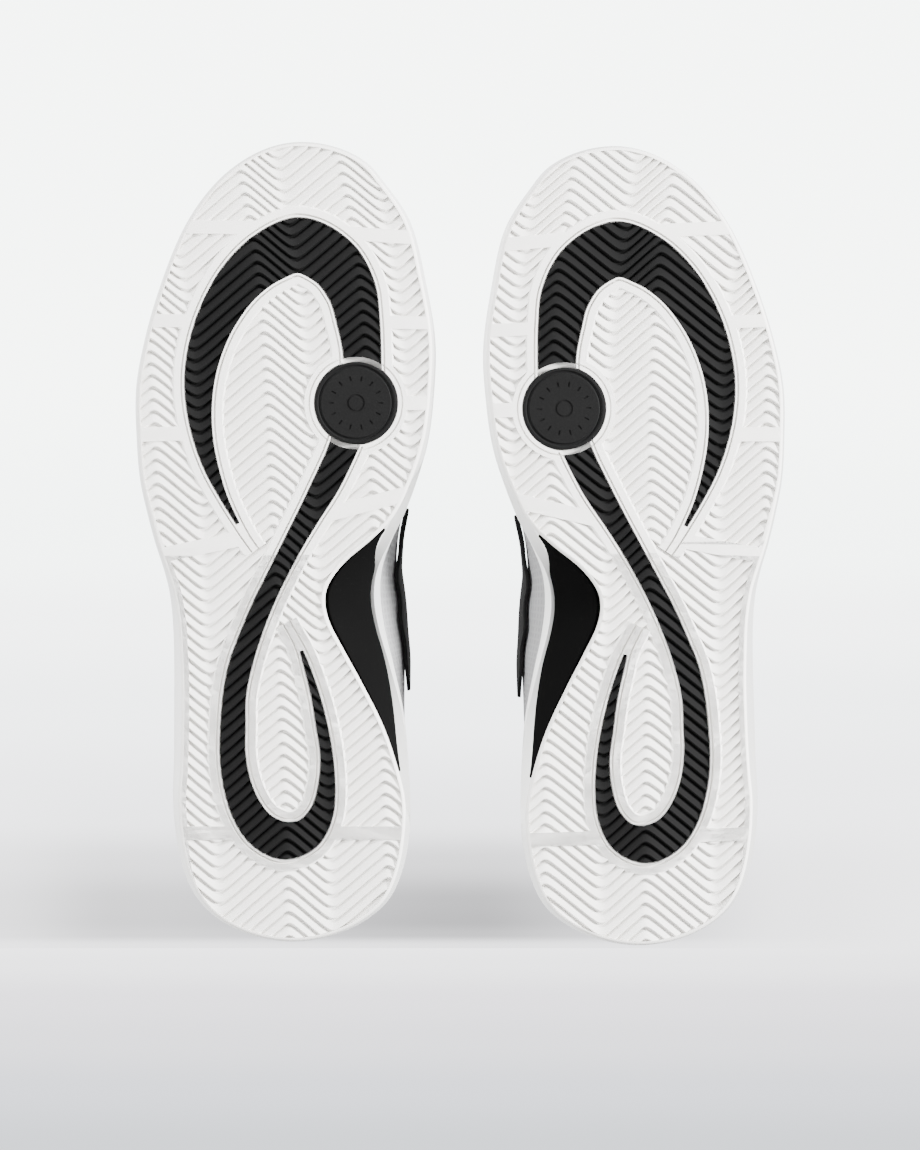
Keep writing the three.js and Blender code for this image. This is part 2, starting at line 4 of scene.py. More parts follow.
import bpy
import numpy as np
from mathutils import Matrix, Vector

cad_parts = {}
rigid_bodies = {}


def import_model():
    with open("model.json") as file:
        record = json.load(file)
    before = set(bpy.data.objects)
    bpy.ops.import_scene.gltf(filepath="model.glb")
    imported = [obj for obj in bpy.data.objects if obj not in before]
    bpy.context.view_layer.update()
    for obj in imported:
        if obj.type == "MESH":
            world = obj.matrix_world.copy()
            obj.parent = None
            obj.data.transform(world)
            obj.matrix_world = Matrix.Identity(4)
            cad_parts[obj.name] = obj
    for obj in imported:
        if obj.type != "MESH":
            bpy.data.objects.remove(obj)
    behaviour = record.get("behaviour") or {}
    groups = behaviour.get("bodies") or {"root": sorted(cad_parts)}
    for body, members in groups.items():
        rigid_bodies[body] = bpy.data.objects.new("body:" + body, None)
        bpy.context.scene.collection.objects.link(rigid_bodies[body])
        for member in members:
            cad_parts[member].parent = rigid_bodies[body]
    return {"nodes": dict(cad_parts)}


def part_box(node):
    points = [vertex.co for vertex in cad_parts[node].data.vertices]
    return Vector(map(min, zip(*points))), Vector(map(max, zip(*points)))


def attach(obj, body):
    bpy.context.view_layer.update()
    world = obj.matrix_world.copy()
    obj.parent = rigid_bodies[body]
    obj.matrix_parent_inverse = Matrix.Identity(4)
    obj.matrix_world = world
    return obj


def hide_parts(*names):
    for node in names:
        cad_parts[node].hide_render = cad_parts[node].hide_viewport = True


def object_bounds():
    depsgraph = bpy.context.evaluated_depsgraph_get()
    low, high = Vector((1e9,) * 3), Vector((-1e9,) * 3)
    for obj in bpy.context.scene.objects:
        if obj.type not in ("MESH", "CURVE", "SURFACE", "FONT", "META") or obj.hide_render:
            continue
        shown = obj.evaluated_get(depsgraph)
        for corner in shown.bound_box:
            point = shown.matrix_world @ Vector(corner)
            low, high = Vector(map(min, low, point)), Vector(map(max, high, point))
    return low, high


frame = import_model()
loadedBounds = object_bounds()

# camera, looking straight up at the soles, toes at the top of the picture
camera = bpy.data.objects.new("camera", bpy.data.cameras.new("camera"))
bpy.context.scene.collection.objects.link(camera)
camera.location = (0, 0.0104, -1.5)
camera.rotation_euler = (math.pi, 0, 0)
camera.data.lens = 144.5
camera.data.sensor_width = 36
camera.data.dof.use_dof = False
bpy.context.scene.camera = camera


# materials
def linear(hexColour):  # sRGB hex to linear
    parts = [int(hexColour[i : i + 2], 16) / 255 for i in (1, 3, 5)]
    return tuple(p / 12.92 if p < 0.04045 else ((p + 0.055) / 1.055) ** 2.4 for p in parts) + (1,)


def node(tree, kind, links=(), **settings):
    made = tree.nodes.new("ShaderNode" + kind)
    for key, value in settings.items():
        setattr(made, key, value)
    for key, value in dict(links).items():
        if isinstance(value, bpy.types.NodeSocket):
            tree.links.new(value, made.inputs[key])
        else:
            made.inputs[key].default_value = value
    return made


def blank(name):
    material = bpy.data.materials.new(name)
    material.use_nodes = True
    material.node_tree.nodes.clear()
    return material, material.node_tree


# A moulded or woven finish, a little uneven in tone. Grain and weave sizes and depths are in metres.
def finish(name, colour, roughness, specular, grain, depth, mottle, weave=None, floorShade=1.0):
    material, tree = blank(name)
    place = node(tree, "TexCoord").outputs["Object"]
    fine = node(tree, "TexNoise", {"Vector": place, "Scale": 1 / grain, "Detail": 2})
    broad = node(tree, "TexNoise", {"Vector": place, "Scale": 60, "Detail": 3})
    base = np.array(linear(colour))
    low, high = base * (1 - mottle), np.minimum(base * (1 + mottle), 1)
    # inputs 6 and 7 of a colour mix are its two colours, output 2 is the mixed one
    mixed = node(tree, "Mix", {0: broad.outputs["Fac"], 6: (*low[:3], 1), 7: (*high[:3], 1)}, data_type="RGBA")
    toneColour = mixed.outputs[2]
    height, reach = fine.outputs["Fac"], depth
    if weave:
        cell = node(tree, "UVMap", uv_map="UVMap").outputs["UV"]
        knit = node(tree, "TexVoronoi",
            {"Vector": cell, "Scale": 1 / weave["size"], "Randomness": weave["random"]},
            feature="DISTANCE_TO_EDGE", voronoi_dimensions="2D")
        holes = node(tree, "MapRange", {"Value": knit.outputs["Distance"], "From Min": 0.08, "From Max": 0.3})
        # painted shade: the knit's pits are darker than its threads
        pit = (*(base[:3] * weave["shade"]), 1)
        pitted = node(tree, "Mix", {0: holes.outputs["Result"], 6: toneColour, 7: pit}, data_type="RGBA")
        toneColour = pitted.outputs[2]
        height = node(tree, "Math", {0: 1.0, 1: holes.outputs["Result"]}, operation="SUBTRACT").outputs[0]
        reach = weave["depth"]
    if floorShade < 1:  # painted shade: darker down between the lugs, where less light reaches
        down = node(tree, "Attribute", attribute_name="down").outputs["Fac"]
        keep = node(tree, "MapRange",
            {"Value": down, "From Min": 0.1, "From Max": 0.9, "To Min": 1.0, "To Max": floorShade})
        shaded = node(tree, "VectorMath", {0: toneColour, "Scale": keep.outputs["Result"]}, operation="SCALE")
        toneColour = shaded.outputs[0]
    bump = node(tree, "Bump", {"Height": height, "Distance": reach, "Strength": 1.0})
    shader = node(tree, "BsdfPrincipled", {"Base Color": toneColour, "Roughness": roughness, "IOR": 1.5,
        "Specular IOR Level": specular, "Normal": bump.outputs["Normal"]})
    node(tree, "OutputMaterial", {"Surface": shader.outputs["BSDF"]})
    return material


finishes = {
    # white rubber, compression moulded: satin and faintly warm, with painted shade down between the lugs
    "whiteRubber": finish("white rubber, moulded", "#eceae6", roughness=0.55, specular=0.3,
        grain=0.0005, depth=0.000008, mottle=0.012, floorShade=0.86),
    # black rubber, compression moulded: matte, near black, with next to no sheen, and painted shade down between
    # the lugs
    "blackRubber": finish("black rubber, moulded", "#111111", roughness=0.6, specular=0.05,
        grain=0.0005, depth=0.00001, mottle=0.1, floorShade=0.6),
    # black TPU, injection moulded: smooth, matte, near black
    "archPlastic": finish("black thermoplastic, injection moulded", "#090909", roughness=0.8, specular=0.01,
        grain=0.0008, depth=0.000004, mottle=0.05),
    # white EVA foam, moulded: soft matte skin
    "whiteFoam": finish("white eva foam, moulded", "#f4f4f2", roughness=0.6, specular=0.3,
        grain=0.0009, depth=0.00001, mottle=0.012),
    # white coated microfibre: smooth with a fine leather grain
    "whiteSynthetic": finish("white coated microfibre", "#f4f4f3", roughness=0.45, specular=0.4,
        grain=0.0011, depth=0.00004, mottle=0.015),
    # grey polyester mesh over foam, knitted: rows of small dots, 2.1 mm apart
    "greyMesh": finish("grey polyester mesh, knitted", "#9c9c9d", roughness=0.8, specular=0.3,
        grain=0.0006, depth=0.00003, mottle=0.03,
        weave={"size": 0.0021, "random": 0.0, "shade": 0.84, "depth": 0.00015}),
    # grey polyester lining, knitted and brushed: dry, a finer knit than the mesh
    "lining": finish("grey polyester lining, knitted", "#8f8f93", roughness=0.9, specular=0.2,
        grain=0.0005, depth=0.00006, mottle=0.06,
        weave={"size": 0.0013, "random": 0.2, "shade": 0.75, "depth": 0.00015}),
    # fibre board, pressed: plain, dull and buff
    "stiffener": finish("fibre board", "#d8d2c4", roughness=0.7, specular=0.3,
        grain=0.0006, depth=0.00002, mottle=0.05),
    # white polyester lace, braided flat: a coarse, dry surface
    "lace": finish("white polyester braid", "#f4f4f2", roughness=0.8, specular=0.3,
        grain=0.0006, depth=0.00002, mottle=0.02,
        weave={"size": 0.0009, "random": 0.3, "shade": 0.8, "depth": 0.00025}),
    # white polyester thread, twisted: small bright stitches
    "thread": finish("white polyester thread", "#ececea", roughness=0.6, specular=0.3,
        grain=0.0003, depth=0.00002, mottle=0.03),
    # aluminium, stamped and lacquered white: the paint hides the metal, a small glint on each lip
    "eyelet": finish("white lacquered aluminium, stamped", "#e9e9e7", roughness=0.35, specular=0.5,
        grain=0.002, depth=0.000004, mottle=0.02),
}
print("materials made")


# Curves, in millimetres in one shoe's own frame: y from the back of the heel to the toe, x to the inner side.
def spline(knots, rows):  # a smooth curve through the rows
    knots, rows = np.array(knots, float), np.array(rows, float)
    last = len(knots) - 1

    def at(place):
        t = np.clip(place, knots[0], knots[-1])
        k = np.clip(np.searchsorted(knots, t, "right"), 1, last)
        before, after = np.where(k > 1, k - 2, k), np.where(k < last, k + 1, k - 1)
        width = knots[k] - knots[k - 1]
        slopeIn = 0.5 * width / (knots[k - 1] - knots[before])
        slopeOut = 0.5 * width / (knots[after] - knots[k])
        p = (t - knots[k - 1]) / width
        weights = (
            -slopeIn * p**3 + 2 * slopeIn * p**2 - slopeIn * p,
            (1 + slopeIn) * p**3 + (-1.5 - 2 * slopeIn) * p**2 + (-0.5 + slopeIn) * p + 1,
            (-1 - slopeOut) * p**3 + (1.5 + slopeOut) * p**2 + 0.5 * p,
            slopeOut * p**3 - slopeOut * p**2,
        )
        return sum(w[..., None] * rows[i] for w, i in zip(weights, (before, k - 1, k, after)))

    return at


soleLength = 260  # this and every size below in millimetres
treadThickness, clearance, insertDepth = 3.6, 0.35, 2.2
discRadius, discPlace = 13.4, (20.8, 174.9)


def turnOf(y):
    return np.arccos(1 - 2 * np.asarray(y, float) / soleLength) / math.pi


def lengthAt(t):
    return soleLength * (1 - np.cos(math.pi * t)) / 2


def profile(rows):
    rows = np.array(rows, float)
    curve = spline(turnOf(rows[:, 0]), rows[:, 1:])
    return lambda t: curve(np.abs(t))


def smoothstep(x, low, high):
    p = np.clip((x - low) / (high - low), 0, 1)
    return p * p * (3 - 2 * p)


# outer and inner edge of the tread at distances from the heel
treadOutline = profile([
    [0, 0, 0], [7, -23, 23], [13, -29.2, 29.8], [20, -32.9, 33.5], [33, -36, 36.4], [46, -37, 36.7],
    [56, -36.4, 34.4], [70, -36, 29.6], [85, -36, 22.1], [95, -36.4, 16.6], [104, -37, 12], [109.5, -37.8, 10.7],
    [114.5, -38.8, 11.2], [119.5, -40.4, 14], [124, -42, 18], [130, -44, 25.2], [137, -45.9, 32.2],
    [150, -48.9, 38.8], [163, -50, 43], [180, -50.2, 45.1], [195, -47.6, 45.5], [215, -41.8, 42.3],
    [234, -33.8, 37.4], [247, -24.4, 28.9], [254, -16, 22.5], [260, 2.6, 2.6],
])
# the same for the foam's rim above it
rimOutline = profile([
    [0, 0, 0], [7, -24, 23.6], [13, -30.5, 30.4], [20, -34.5, 34], [33, -37.8, 37], [46, -38.9, 37.4],
    [60, -38.7, 37], [75, -38.7, 35.6], [90, -38.6, 32.4], [102, -38.8, 29.6], [112, -39.6, 28.3],
    [121, -41.4, 28.8], [130, -44.2, 31.6], [140, -46.8, 36], [150, -48.9, 39.6], [163, -50, 43.2],
    [180, -50.2, 45.2], [195, -47.6, 45.5], [215, -41.8, 42.3], [234, -33.8, 37.4], [247, -24.4, 28.9],
    [254, -16, 22.5], [260, 2.6, 2.6],
])


def wrapTurn(t):
    return np.where(t > 1, t - 2, np.where(t < -1, t + 2, t))


def liftAt(y):
    return 5 * (np.maximum(0, y - 195) / 65) ** 2


def footBedAt(y):
    return 20 + (12.5 - 20) * smoothstep(y, 70, 180) + liftAt(y)


def outlinePoint(turn, blend):
    t = wrapTurn(np.asarray(turn, float))
    blend = np.broadcast_to(blend, t.shape)[..., None]
    both = treadOutline(t) * (1 - blend) + rimOutline(t) * blend
    return np.stack([np.where(t < 0, both[..., 0], both[..., 1]), lengthAt(t)], -1)


def offsetOutline(t, blend, offset):
    along = outlinePoint(t + 0.002, blend) - outlinePoint(t - 0.002, blend)
    along /= np.linalg.norm(along, axis=-1, keepdims=True)
    out = np.stack([along[..., 1], -along[..., 0]], -1)
    return outlinePoint(t, blend) + out * np.broadcast_to(offset, np.shape(t))[..., None]


# meshes
def bareMesh(name, points, faces, uv=None):  # faces: index arrays, one for each number of corners
    mesh = bpy.data.meshes.new(name)
    corners = np.concatenate([f.ravel() for f in faces]).astype(np.int32)
    totals = np.concatenate([np.full(len(f), f.shape[1]) for f in faces]).astype(np.int32)
    mesh.vertices.add(len(points))
    mesh.loops.add(len(corners))
    mesh.polygons.add(len(totals))
    mesh.vertices.foreach_set("co", np.asarray(points, np.float32).ravel())
    mesh.loops.foreach_set("vertex_index", corners)
    mesh.polygons.foreach_set("loop_start", np.concatenate([[0], np.cumsum(totals)[:-1]]).astype(np.int32))
    mesh.polygons.foreach_set("vertices", corners)
    if uv is not None:
        layer = mesh.uv_layers.new(name="UVMap")
        layer.data.foreach_set("uv", np.asarray(uv, np.float32)[corners].ravel())
    mesh.update(calc_edges=True)
    return mesh


def volumeOf(points, faces):
    fans = [(f[:, 0], f[:, i], f[:, i + 1]) for f in faces for i in range(1, f.shape[1] - 1)]
    return sum((points[a] * np.cross(points[b], points[c])).sum() for a, b, c in fans)


def workObject(name, points, faces, uv=None, closed=True):  # a closed one is turned the right way out
    points = np.asarray(points, float)
    if closed and volumeOf(points, faces) < 0:
        faces = [f[:, ::-1] for f in faces]
    made = bpy.data.objects.new(name, bareMesh(name, points, faces, uv))
    bpy.context.scene.collection.objects.link(made)
    return made


def carve(target, steps):  # steps: DIFFERENCE or INTERSECT with each tool in turn; the tools stay
    for operation, tool in steps:
        cut = target.modifiers.new("cut", "BOOLEAN")
        cut.object, cut.operation, cut.solver = tool, operation, "MANIFOLD"
    made = bpy.data.meshes.new_from_object(target.evaluated_get(bpy.context.evaluated_depsgraph_get()))
    target.modifiers.clear()
    target.data = made
    return target


def remove(*objects):
    for o in objects:
        bpy.data.objects.remove(o)


def grid(rows, columns, closed=False, start=0):  # quads of a lattice whose points run row by row
    i = np.arange(rows - 1)[:, None]
    j = np.arange(columns if closed else columns - 1)[None, :]
    a = start + i * columns + j
    b = start + i * columns + (j + 1) % columns
    return np.stack([a, b, b + columns, a + columns], -1).reshape(-1, 4)


def ringSolid(name, rings):  # rings stacked upwards; strips across close the two ends
    rings = np.array(rings)
    levels, count = rings.shape[:2]
    i = np.arange(1, count // 2 - 1)
    strip = np.stack([i, i + 1, count - i - 1, count - i], -1)
    tips = np.array([[0, 1, count - 1], [count // 2 - 1, count // 2, count // 2 + 1]])
    top = (levels - 1) * count
    quads = np.vstack([grid(levels, count, True), strip + top, strip[:, ::-1]])
    return workObject(name, rings.reshape(-1, 3), [quads, np.vstack([tips + top, tips[:, ::-1]])])


def ring(t, blend, offset, height):
    flat = offsetOutline(t, blend, offset)
    return np.concatenate([flat, np.broadcast_to(height, flat.shape[:1])[:, None]], 1)


roundTurns = -1 + 2 * np.arange(480) / 480


def loft(name, sections):  # a solid through closed cross sections
    sections = np.array(sections)
    count, corners = sections.shape[:2]
    ends = np.arange(corners)
    return workObject(name, sections.reshape(-1, 3),
        [grid(count, corners, True), np.vstack([ends[::-1], ends + (count - 1) * corners])])


def ribbonLine(rows, samples):
    rows = np.array(rows, float)
    steps = np.concatenate([[0], np.cumsum(np.linalg.norm(np.diff(rows[:, :2], axis=0), axis=1))])
    curve = spline(steps, rows)
    at = np.linspace(0, steps[-1], samples)
    middle = curve(at)
    along = curve(np.minimum(at + 11, steps[-1]))[:, :2] - curve(np.maximum(at - 11, 0))[:, :2]
    along /= np.linalg.norm(along, axis=1, keepdims=True)
    return middle, np.stack([along[:, 1], -along[:, 0]], 1)


# a ribbon solid along rows of [x, y, half width]; levels are (z, growth) from the bottom up
def ribbon(name, rows, levels, samples=150):
    middle, across = ribbonLine(rows, samples)
    edge = []
    for hand, order in ((1, levels), (-1, levels[::-1])):
        for z, grow in order:
            flat = middle[:, :2] + hand * across * np.maximum(middle[:, 2:] + grow, 0.05)
            edge.append(np.concatenate([flat, np.full((samples, 1), z)], 1))
    return loft(name, np.stack(edge, 1))


def post(name, radius, low, high, place, sides=96):
    angle = np.arange(sides) * 2 * math.pi / sides
    flat = np.stack([place[0] + radius * np.cos(angle), place[1] + radius * np.sin(angle)], 1)
    return loft(name, [np.concatenate([flat, np.full((sides, 1), z)], 1) for z in (low, high)])


def edgeGroove(rows, hand):  # a narrow cutter that runs beside a ribbon
    middle, across = ribbonLine(rows, 150)
    inner, outer = tread["strip"], tread["groove"]
    sections = []
    for z, near, far in ((-1, inner - 0.1, outer + 0.25), (0.2, inner, outer), (1, inner + 0.05, outer - 0.1)):
        for reach in (near, far):
            flat = middle[:, :2] + hand * across * (middle[:, 2:] + reach)
            sections.append(np.concatenate([flat, np.full((150, 1), z)], 1))
    order = (0, 2, 4, 5, 3, 1) if hand < 0 else (1, 3, 5, 4, 2, 0)
    return loft("groove", np.stack([sections[i] for i in order], 1))


def hoop(name, place, inner, outer, low, high, sides=96):
    angle = np.arange(sides) * 2 * math.pi / sides
    out = np.stack([np.cos(angle), np.sin(angle)], 1)
    corners = [np.concatenate([np.array(place) + out * r, np.full((sides, 1), z)], 1)
        for r, z in ((inner, low), (inner, high), (outer, high), (outer, low))]
    points = np.stack(corners, 1).reshape(-1, 3)
    i, j = np.arange(sides)[:, None], np.arange(4)[None, :]
    ahead, beside = (i + 1) % sides * 4, (j + 1) % 4
    faces = np.stack([i * 4 + j, i * 4 + beside, ahead + beside, ahead + j], -1).reshape(-1, 4)
    return workObject(name, points, [faces])


# the two shoes' places, from their discs
def discCentre(side):
    low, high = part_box(side + "_pivot_disc")
    return np.array(((low + high) / 2)[:2])


toeIn = math.radians(1.55)
axes = {
    "right": (np.array([1.0, 0.0]), np.array([0.0, -1.0])),
    "left": (np.array([-math.cos(toeIn), math.sin(toeIn)]), np.array([-math.sin(toeIn), -math.cos(toeIn)])),
}


def place(side, points):
    across, along = axes[side]
    heel = discCentre(side) - (across * discPlace[0] + along * discPlace[1]) / 1000
    points = np.asarray(points, float)
    flat = heel + (points[:, :1] * across + points[:, 1:2] * along) / 1000
    return np.concatenate([flat, points[:, 2:] / 1000], 1)


# stands a piece made in the shoe's own frame in both shoes; the right one is its mirror image
def setPiece(source, part, look, replaced=(), angle=30, body="shoe"):
    bpy.context.view_layer.update()
    count = len(source.data.vertices)
    points = np.zeros(count * 3)
    source.data.vertices.foreach_get("co", points)
    for side in ("left", "right"):
        mesh = source.data.copy()
        mesh.vertices.foreach_set("co", place(side, points.reshape(-1, 3)).astype(np.float32).ravel())
        if side == "right":
            mesh.flip_normals()
        mesh.materials.clear()
        mesh.materials.append(finishes[look])
        mesh.polygons.foreach_set("use_smooth", np.ones(len(mesh.polygons), bool))
        mesh.set_sharp_from_angle(angle=math.radians(angle))
        mesh.update()
        made = bpy.data.objects.new(side + "_" + part, mesh)
        bpy.context.scene.collection.objects.link(made)
        made.name = side + "_" + part + "_look"
        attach(made, side + "_" + body)
        if replaced:
            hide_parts(*[side + "_" + r for r in replaced])
    remove(source)


# tread
tread = {
    "lugDepth": 1.3,
    "peaks": (-37, 0, 32.5),  # where the herringbone turns, across the foot
    "valleys": (-22, 14.5, 45.5),
    "slope": 0.88,
    "rounding": 1.5,  # of the turns
    # one lug, as (share of the pitch, height): a long slope up and a short drop
    "rowProfile": ((0, 0), (0.08, 0.2), (0.2, 0.46), (0.42, 0.7), (0.68, 0.93), (0.78, 1), (0.85, 0.88),
        (0.93, 0.08)),
    "columnStep": 0.72,
    "edge": 1.0,  # radius of the lower edge
    "strip": 0.9,  # flat beside a loop
    "groove": 1.5,  # far side of the groove beside that
    "bead": 4.3,  # far side of the bead
    "discBead": 3.4,
    "discStrip": 1.3,
}
# the two black loops, as [x, y, half width]
forefootLine = [
    [-17.6, 135.6, 0.35], [-21.8, 143.3, 0.95], [-26, 153.1, 2.1], [-28.8, 162.8, 3], [-30.2, 172.6, 3.9],
    [-30.1, 182.3, 4.7], [-28.3, 192.1, 5.4], [-24.2, 203, 6.2], [-17.1, 214.2, 7.2], [-8.4, 222, 8.2],
    [2.2, 226.3, 8.9], [13.6, 220.6, 8.5], [19.6, 211, 7.7], [21.5, 201.8, 6.9], [22.7, 192.1, 6.1],
    [22.9, 184, 6],
]
heelLine = [
    [17.6, 163, 4.6], [15.6, 158, 4.4], [10.9, 148.2, 4.2], [5.5, 138.5, 3.5], [0.1, 128.7, 3.05],
    [-4.9, 119, 2.9], [-9.6, 109.2, 3.05], [-13.5, 99.5, 3.25], [-16.8, 89.7, 3.6], [-18.7, 80, 3.6],
    [-19.2, 70.2, 3.9], [-19.3, 60.5, 4.05], [-17.8, 50.7, 4.4], [-14.4, 41.8, 5], [-9.6, 35.7, 5.6],
    [-2.2, 32.6, 6], [5.2, 35, 5], [9.6, 41.5, 3.7], [11.3, 50.7, 2.6], [11.2, 60.5, 1.9], [9.6, 70.2, 1.75],
    [7.5, 80, 1.25], [4.6, 89.7, 0.75], [3, 94.4, 0.35],
]
# smooth bands across the tread: from, to, half width
bands = [
    ((-48, 232.5), (-10, 232), 2.2), ((14, 230.5), (46, 228.3), 2.2),
    ((-56, 201.8), (-30, 201.6), 2.1), ((27, 201.2), (54, 200.8), 2.1),
    ((-56, 164.4), (-30, 165.2), 2.3), ((32, 174.9), (54, 174.9), 2.3),
    ((-52, 123.4), (-12, 131.8), 2.4), ((8, 137.8), (46, 147.6), 2.4),
    ((-44, 35.1), (-14, 35.1), 2.2), ((9, 35.1), (44, 35.1), 2.2),
]


def rowPlace(k):  # how far along the foot lug k crosses the middle column; the pitch changes at lug 19
    near = 250.4 - 3.68 * k - 0.0065 * k**2
    far = 250.4 - 3.68 * 19 - 0.0065 * 19**2 - 3.93 * (k - 19)
    return np.where(k < 19, near, far)


# how far the columns lean out towards the toe
columnLine = spline([-40, 20, 80, 143, 176, 221, 247, 300],
    [[-0.6], [-1.3], [-3.6], [-6.5], [-7.8], [-11.4], [-16.2], [-26]])


def zigzag(u):
    def turned(c):
        return np.sqrt((u - c) ** 2 + tread["rounding"] ** 2)

    raw = u - sum(turned(c) for c in tread["peaks"]) + sum(turned(c) for c in tread["valleys"])
    return tread["slope"] * raw


zigzagMiddle = float(zigzag(np.array(0.0)))


def lugField():  # the air between the lugs, down to below the floor
    shape = np.array(tread["rowProfile"])
    k = (np.arange(-10, 72)[:, None] + shape[None, :, 0]).ravel()
    tall = np.tile(shape[:, 1], 82)
    x = np.arange(-54, 54.1, tread["columnStep"])
    along = rowPlace(k)[:, None] + zigzag(x[None, :] - columnLine(rowPlace(k))[:, :1]) - zigzagMiddle
    z = tread["lugDepth"] * (1 - tall) + 0.03
    top = np.stack([np.broadcast_to(x, along.shape), along, np.broadcast_to(z[:, None], along.shape)], -1)
    rows, columns = along.shape
    bottom = top.copy()
    bottom[..., 2] = -3
    shift = rows * columns
    border = np.concatenate([np.arange(columns), np.arange(1, rows) * columns + columns - 1,
        shift - 2 - np.arange(columns - 1), (np.arange(rows - 2, 0, -1)) * columns])
    ahead = np.roll(border, -1)
    walls = np.stack([border, ahead, ahead + shift, border + shift], -1)
    faces = np.vstack([grid(rows, columns), grid(rows, columns, start=shift)[:, ::-1], walls[:, ::-1]])
    return workObject("air", np.concatenate([top.reshape(-1, 3), bottom.reshape(-1, 3)]), [faces[:, ::-1]])


def rimWidth(t):
    y = lengthAt(np.abs(wrapTurn(t)))
    lateral = 0.8 + 1.5 * (t < 0) * (1 - smoothstep(y, 110, 150)) * smoothstep(y, 15, 40)
    return lateral + 0.3


def slab():  # the tread without its pattern, with a rounded lower edge
    edge = tread["edge"]
    angles = np.linspace(0, math.pi / 2, 6)
    rings = [ring(roundTurns, 0, -edge * (1 - math.sin(a)), edge * (1 - math.cos(a))) for a in angles]
    return ringSolid("outsole", rings + [ring(roundTurns, 0, 0, treadThickness)])


forefootLong = [[-12, 127, 0.05], [-14.8, 131, 0.1]] + forefootLine
heelLong = heelLine + [[1, 98.5, 0.1], [-1.8, 103.5, 0.05]]


def makeTread():
    air = lugField()
    zone = ringSolid("zone", [ring(roundTurns, 0, -rimWidth(roundTurns), z) for z in (-2.5, 3)])
    bead = tread["bead"]
    beadLevels = [(-3, bead - 0.75), (0, bead - 0.7), (0.2, bead - 0.35), (0.6, bead - 0.1), (3.5, bead)]
    keep = [ribbon("keep", forefootLong, beadLevels), ribbon("keep", heelLong, beadLevels),
        post("keep", discRadius + tread["discBead"], -3, 3.5, discPlace)]
    for start, end, half in bands:
        steps = [np.array(start) + (np.array(end) - start) * p for p in (0, 0.5, 1)]
        keep.append(ribbon("keep", [[*s, half] for s in steps], [(-3, -0.1), (0, 0), (3.5, 0.25)], 6))
    carve(zone, [("DIFFERENCE", k) for k in keep])
    remove(*keep)
    carve(zone, [("INTERSECT", air)])
    sole = slab()
    grooves = [edgeGroove(line, hand) for line in (forefootLong, heelLong) for hand in (1, -1)]
    room = [(-1, clearance), (insertDepth, clearance)]
    channels = [ribbon("channel", line, room) for line in (forefootLine, heelLine)]
    collarGroove = hoop("groove", discPlace, discRadius + 1.5, discRadius + 2, -1, 0.6)
    seat = post("seat", discRadius + clearance, -1, insertDepth + clearance, discPlace)
    carve(sole, [("DIFFERENCE", tool) for tool in (zone, *grooves, collarGroove, *channels, seat)])
    cut = post("cut", discRadius + tread["discStrip"] + clearance, -5, 10, discPlace)
    loops = []
    for name, line in (("forefoot_loop", forefootLine), ("heel_loop", heelLine)):
        loop = ribbon(name, line, [(0, -0.12), (0.15, 0), (insertDepth - clearance, 0)])
        loops.append(carve(loop, [("DIFFERENCE", air), ("DIFFERENCE", cut)]))
    remove(air, zone, collarGroove, seat, cut, *grooves, *channels)
    for made in [sole, *loops]:
        bend(made)
        print(made.name, len(made.data.polygons), "faces")
    setPiece(sole, "outsole", "whiteRubber", ["outsole"], 20)
    for loop in loops:
        setPiece(loop, loop.name.split(".")[0], "blackRubber", [loop.name.split(".")[0]], 20)


def bend(made):  # lifts the flat tread to the toe spring
    points = np.zeros(len(made.data.vertices) * 3)
    made.data.vertices.foreach_get("co", points)
    points = points.reshape(-1, 3)
    # how deep each point lies between the lugs, which the rubbers' painted shade reads
    down = np.clip(points[:, 2] / tread["lugDepth"], 0, 1)
    made.data.attributes.new("down", "FLOAT", "POINT").data.foreach_set("value", down.astype(np.float32))
    points[:, 2] += liftAt(points[:, 1])
    made.data.vertices.foreach_set("co", points.ravel())
    made.data.update()


makeTread()

disc = {
    "sides": 128,
    "groove": (11.3, 12.5),  # inner and outer radius
    "grooveDepth": 0.45,
    "ticks": 14,
    "tickCircle": 8,
    "tickHalf": 0.8,
    "mark": 2.6,  # radius of the plain ring in the middle
    "markHalf": 0.28,
}


def makeDisc():  # the rubber spot: a turned groove, a circle of small ticks and a plain ring
    inner, outer = disc["groove"]
    deep, sides = disc["grooveDepth"], disc["sides"]
    outline = [(inner, 0), (inner + 0.15, deep * 0.7), (inner + 0.4, deep), (outer - 0.4, deep),
        (outer - 0.15, deep * 0.7), (outer, 0), (discRadius - 0.35, 0), (discRadius - 0.1, 0.1),
        (discRadius, 0.35), (discRadius, insertDepth)]
    angle = np.arange(sides) * 2 * math.pi / sides
    x, y = np.cos(angle), np.sin(angle)
    rings = [np.stack([discPlace[0] + r * x, discPlace[1] + r * y, np.full(sides, z)], 1) for r, z in outline]
    body = loft("disc", rings)
    cutters = []
    for i in range(disc["ticks"]):
        a = 2 * math.pi * i / disc["ticks"]
        out = np.array([math.cos(a), math.sin(a)])
        half = disc["tickHalf"]
        start, end = (np.array(discPlace) + out * (disc["tickCircle"] + s) for s in (-half, half))
        line = [[*start, 0.28], [*((start + end) / 2), 0.32], [*end, 0.28]]
        cutters.append(ribbon("tick", line, [(-1, 0.05), (0.25, -0.05)], 7))
    inside, outside = disc["mark"] - disc["markHalf"], disc["mark"] + disc["markHalf"]
    cutters.append(hoop("mark", discPlace, inside, outside, -1, 0.22, 48))
    carve(body, [("DIFFERENCE", c) for c in cutters])
    remove(*cutters)
    setPiece(body, "pivot_disc", "blackRubber", ["pivot_disc"], 40)


makeDisc()
print("tread made")

# midsole and arch wrap
foam = {
    "bulge": 1.1,
    "bedRim": 3,  # how far the wall rises past the foot bed
    "recess": 3.0,  # room for the arch wrap
    "rim": 2.8,  # wall's width at its top
}
archFrom, archTo = turnOf(55), turnOf(134)
wrapTop = 0.6  # share of the wall's height that the arch wrap covers


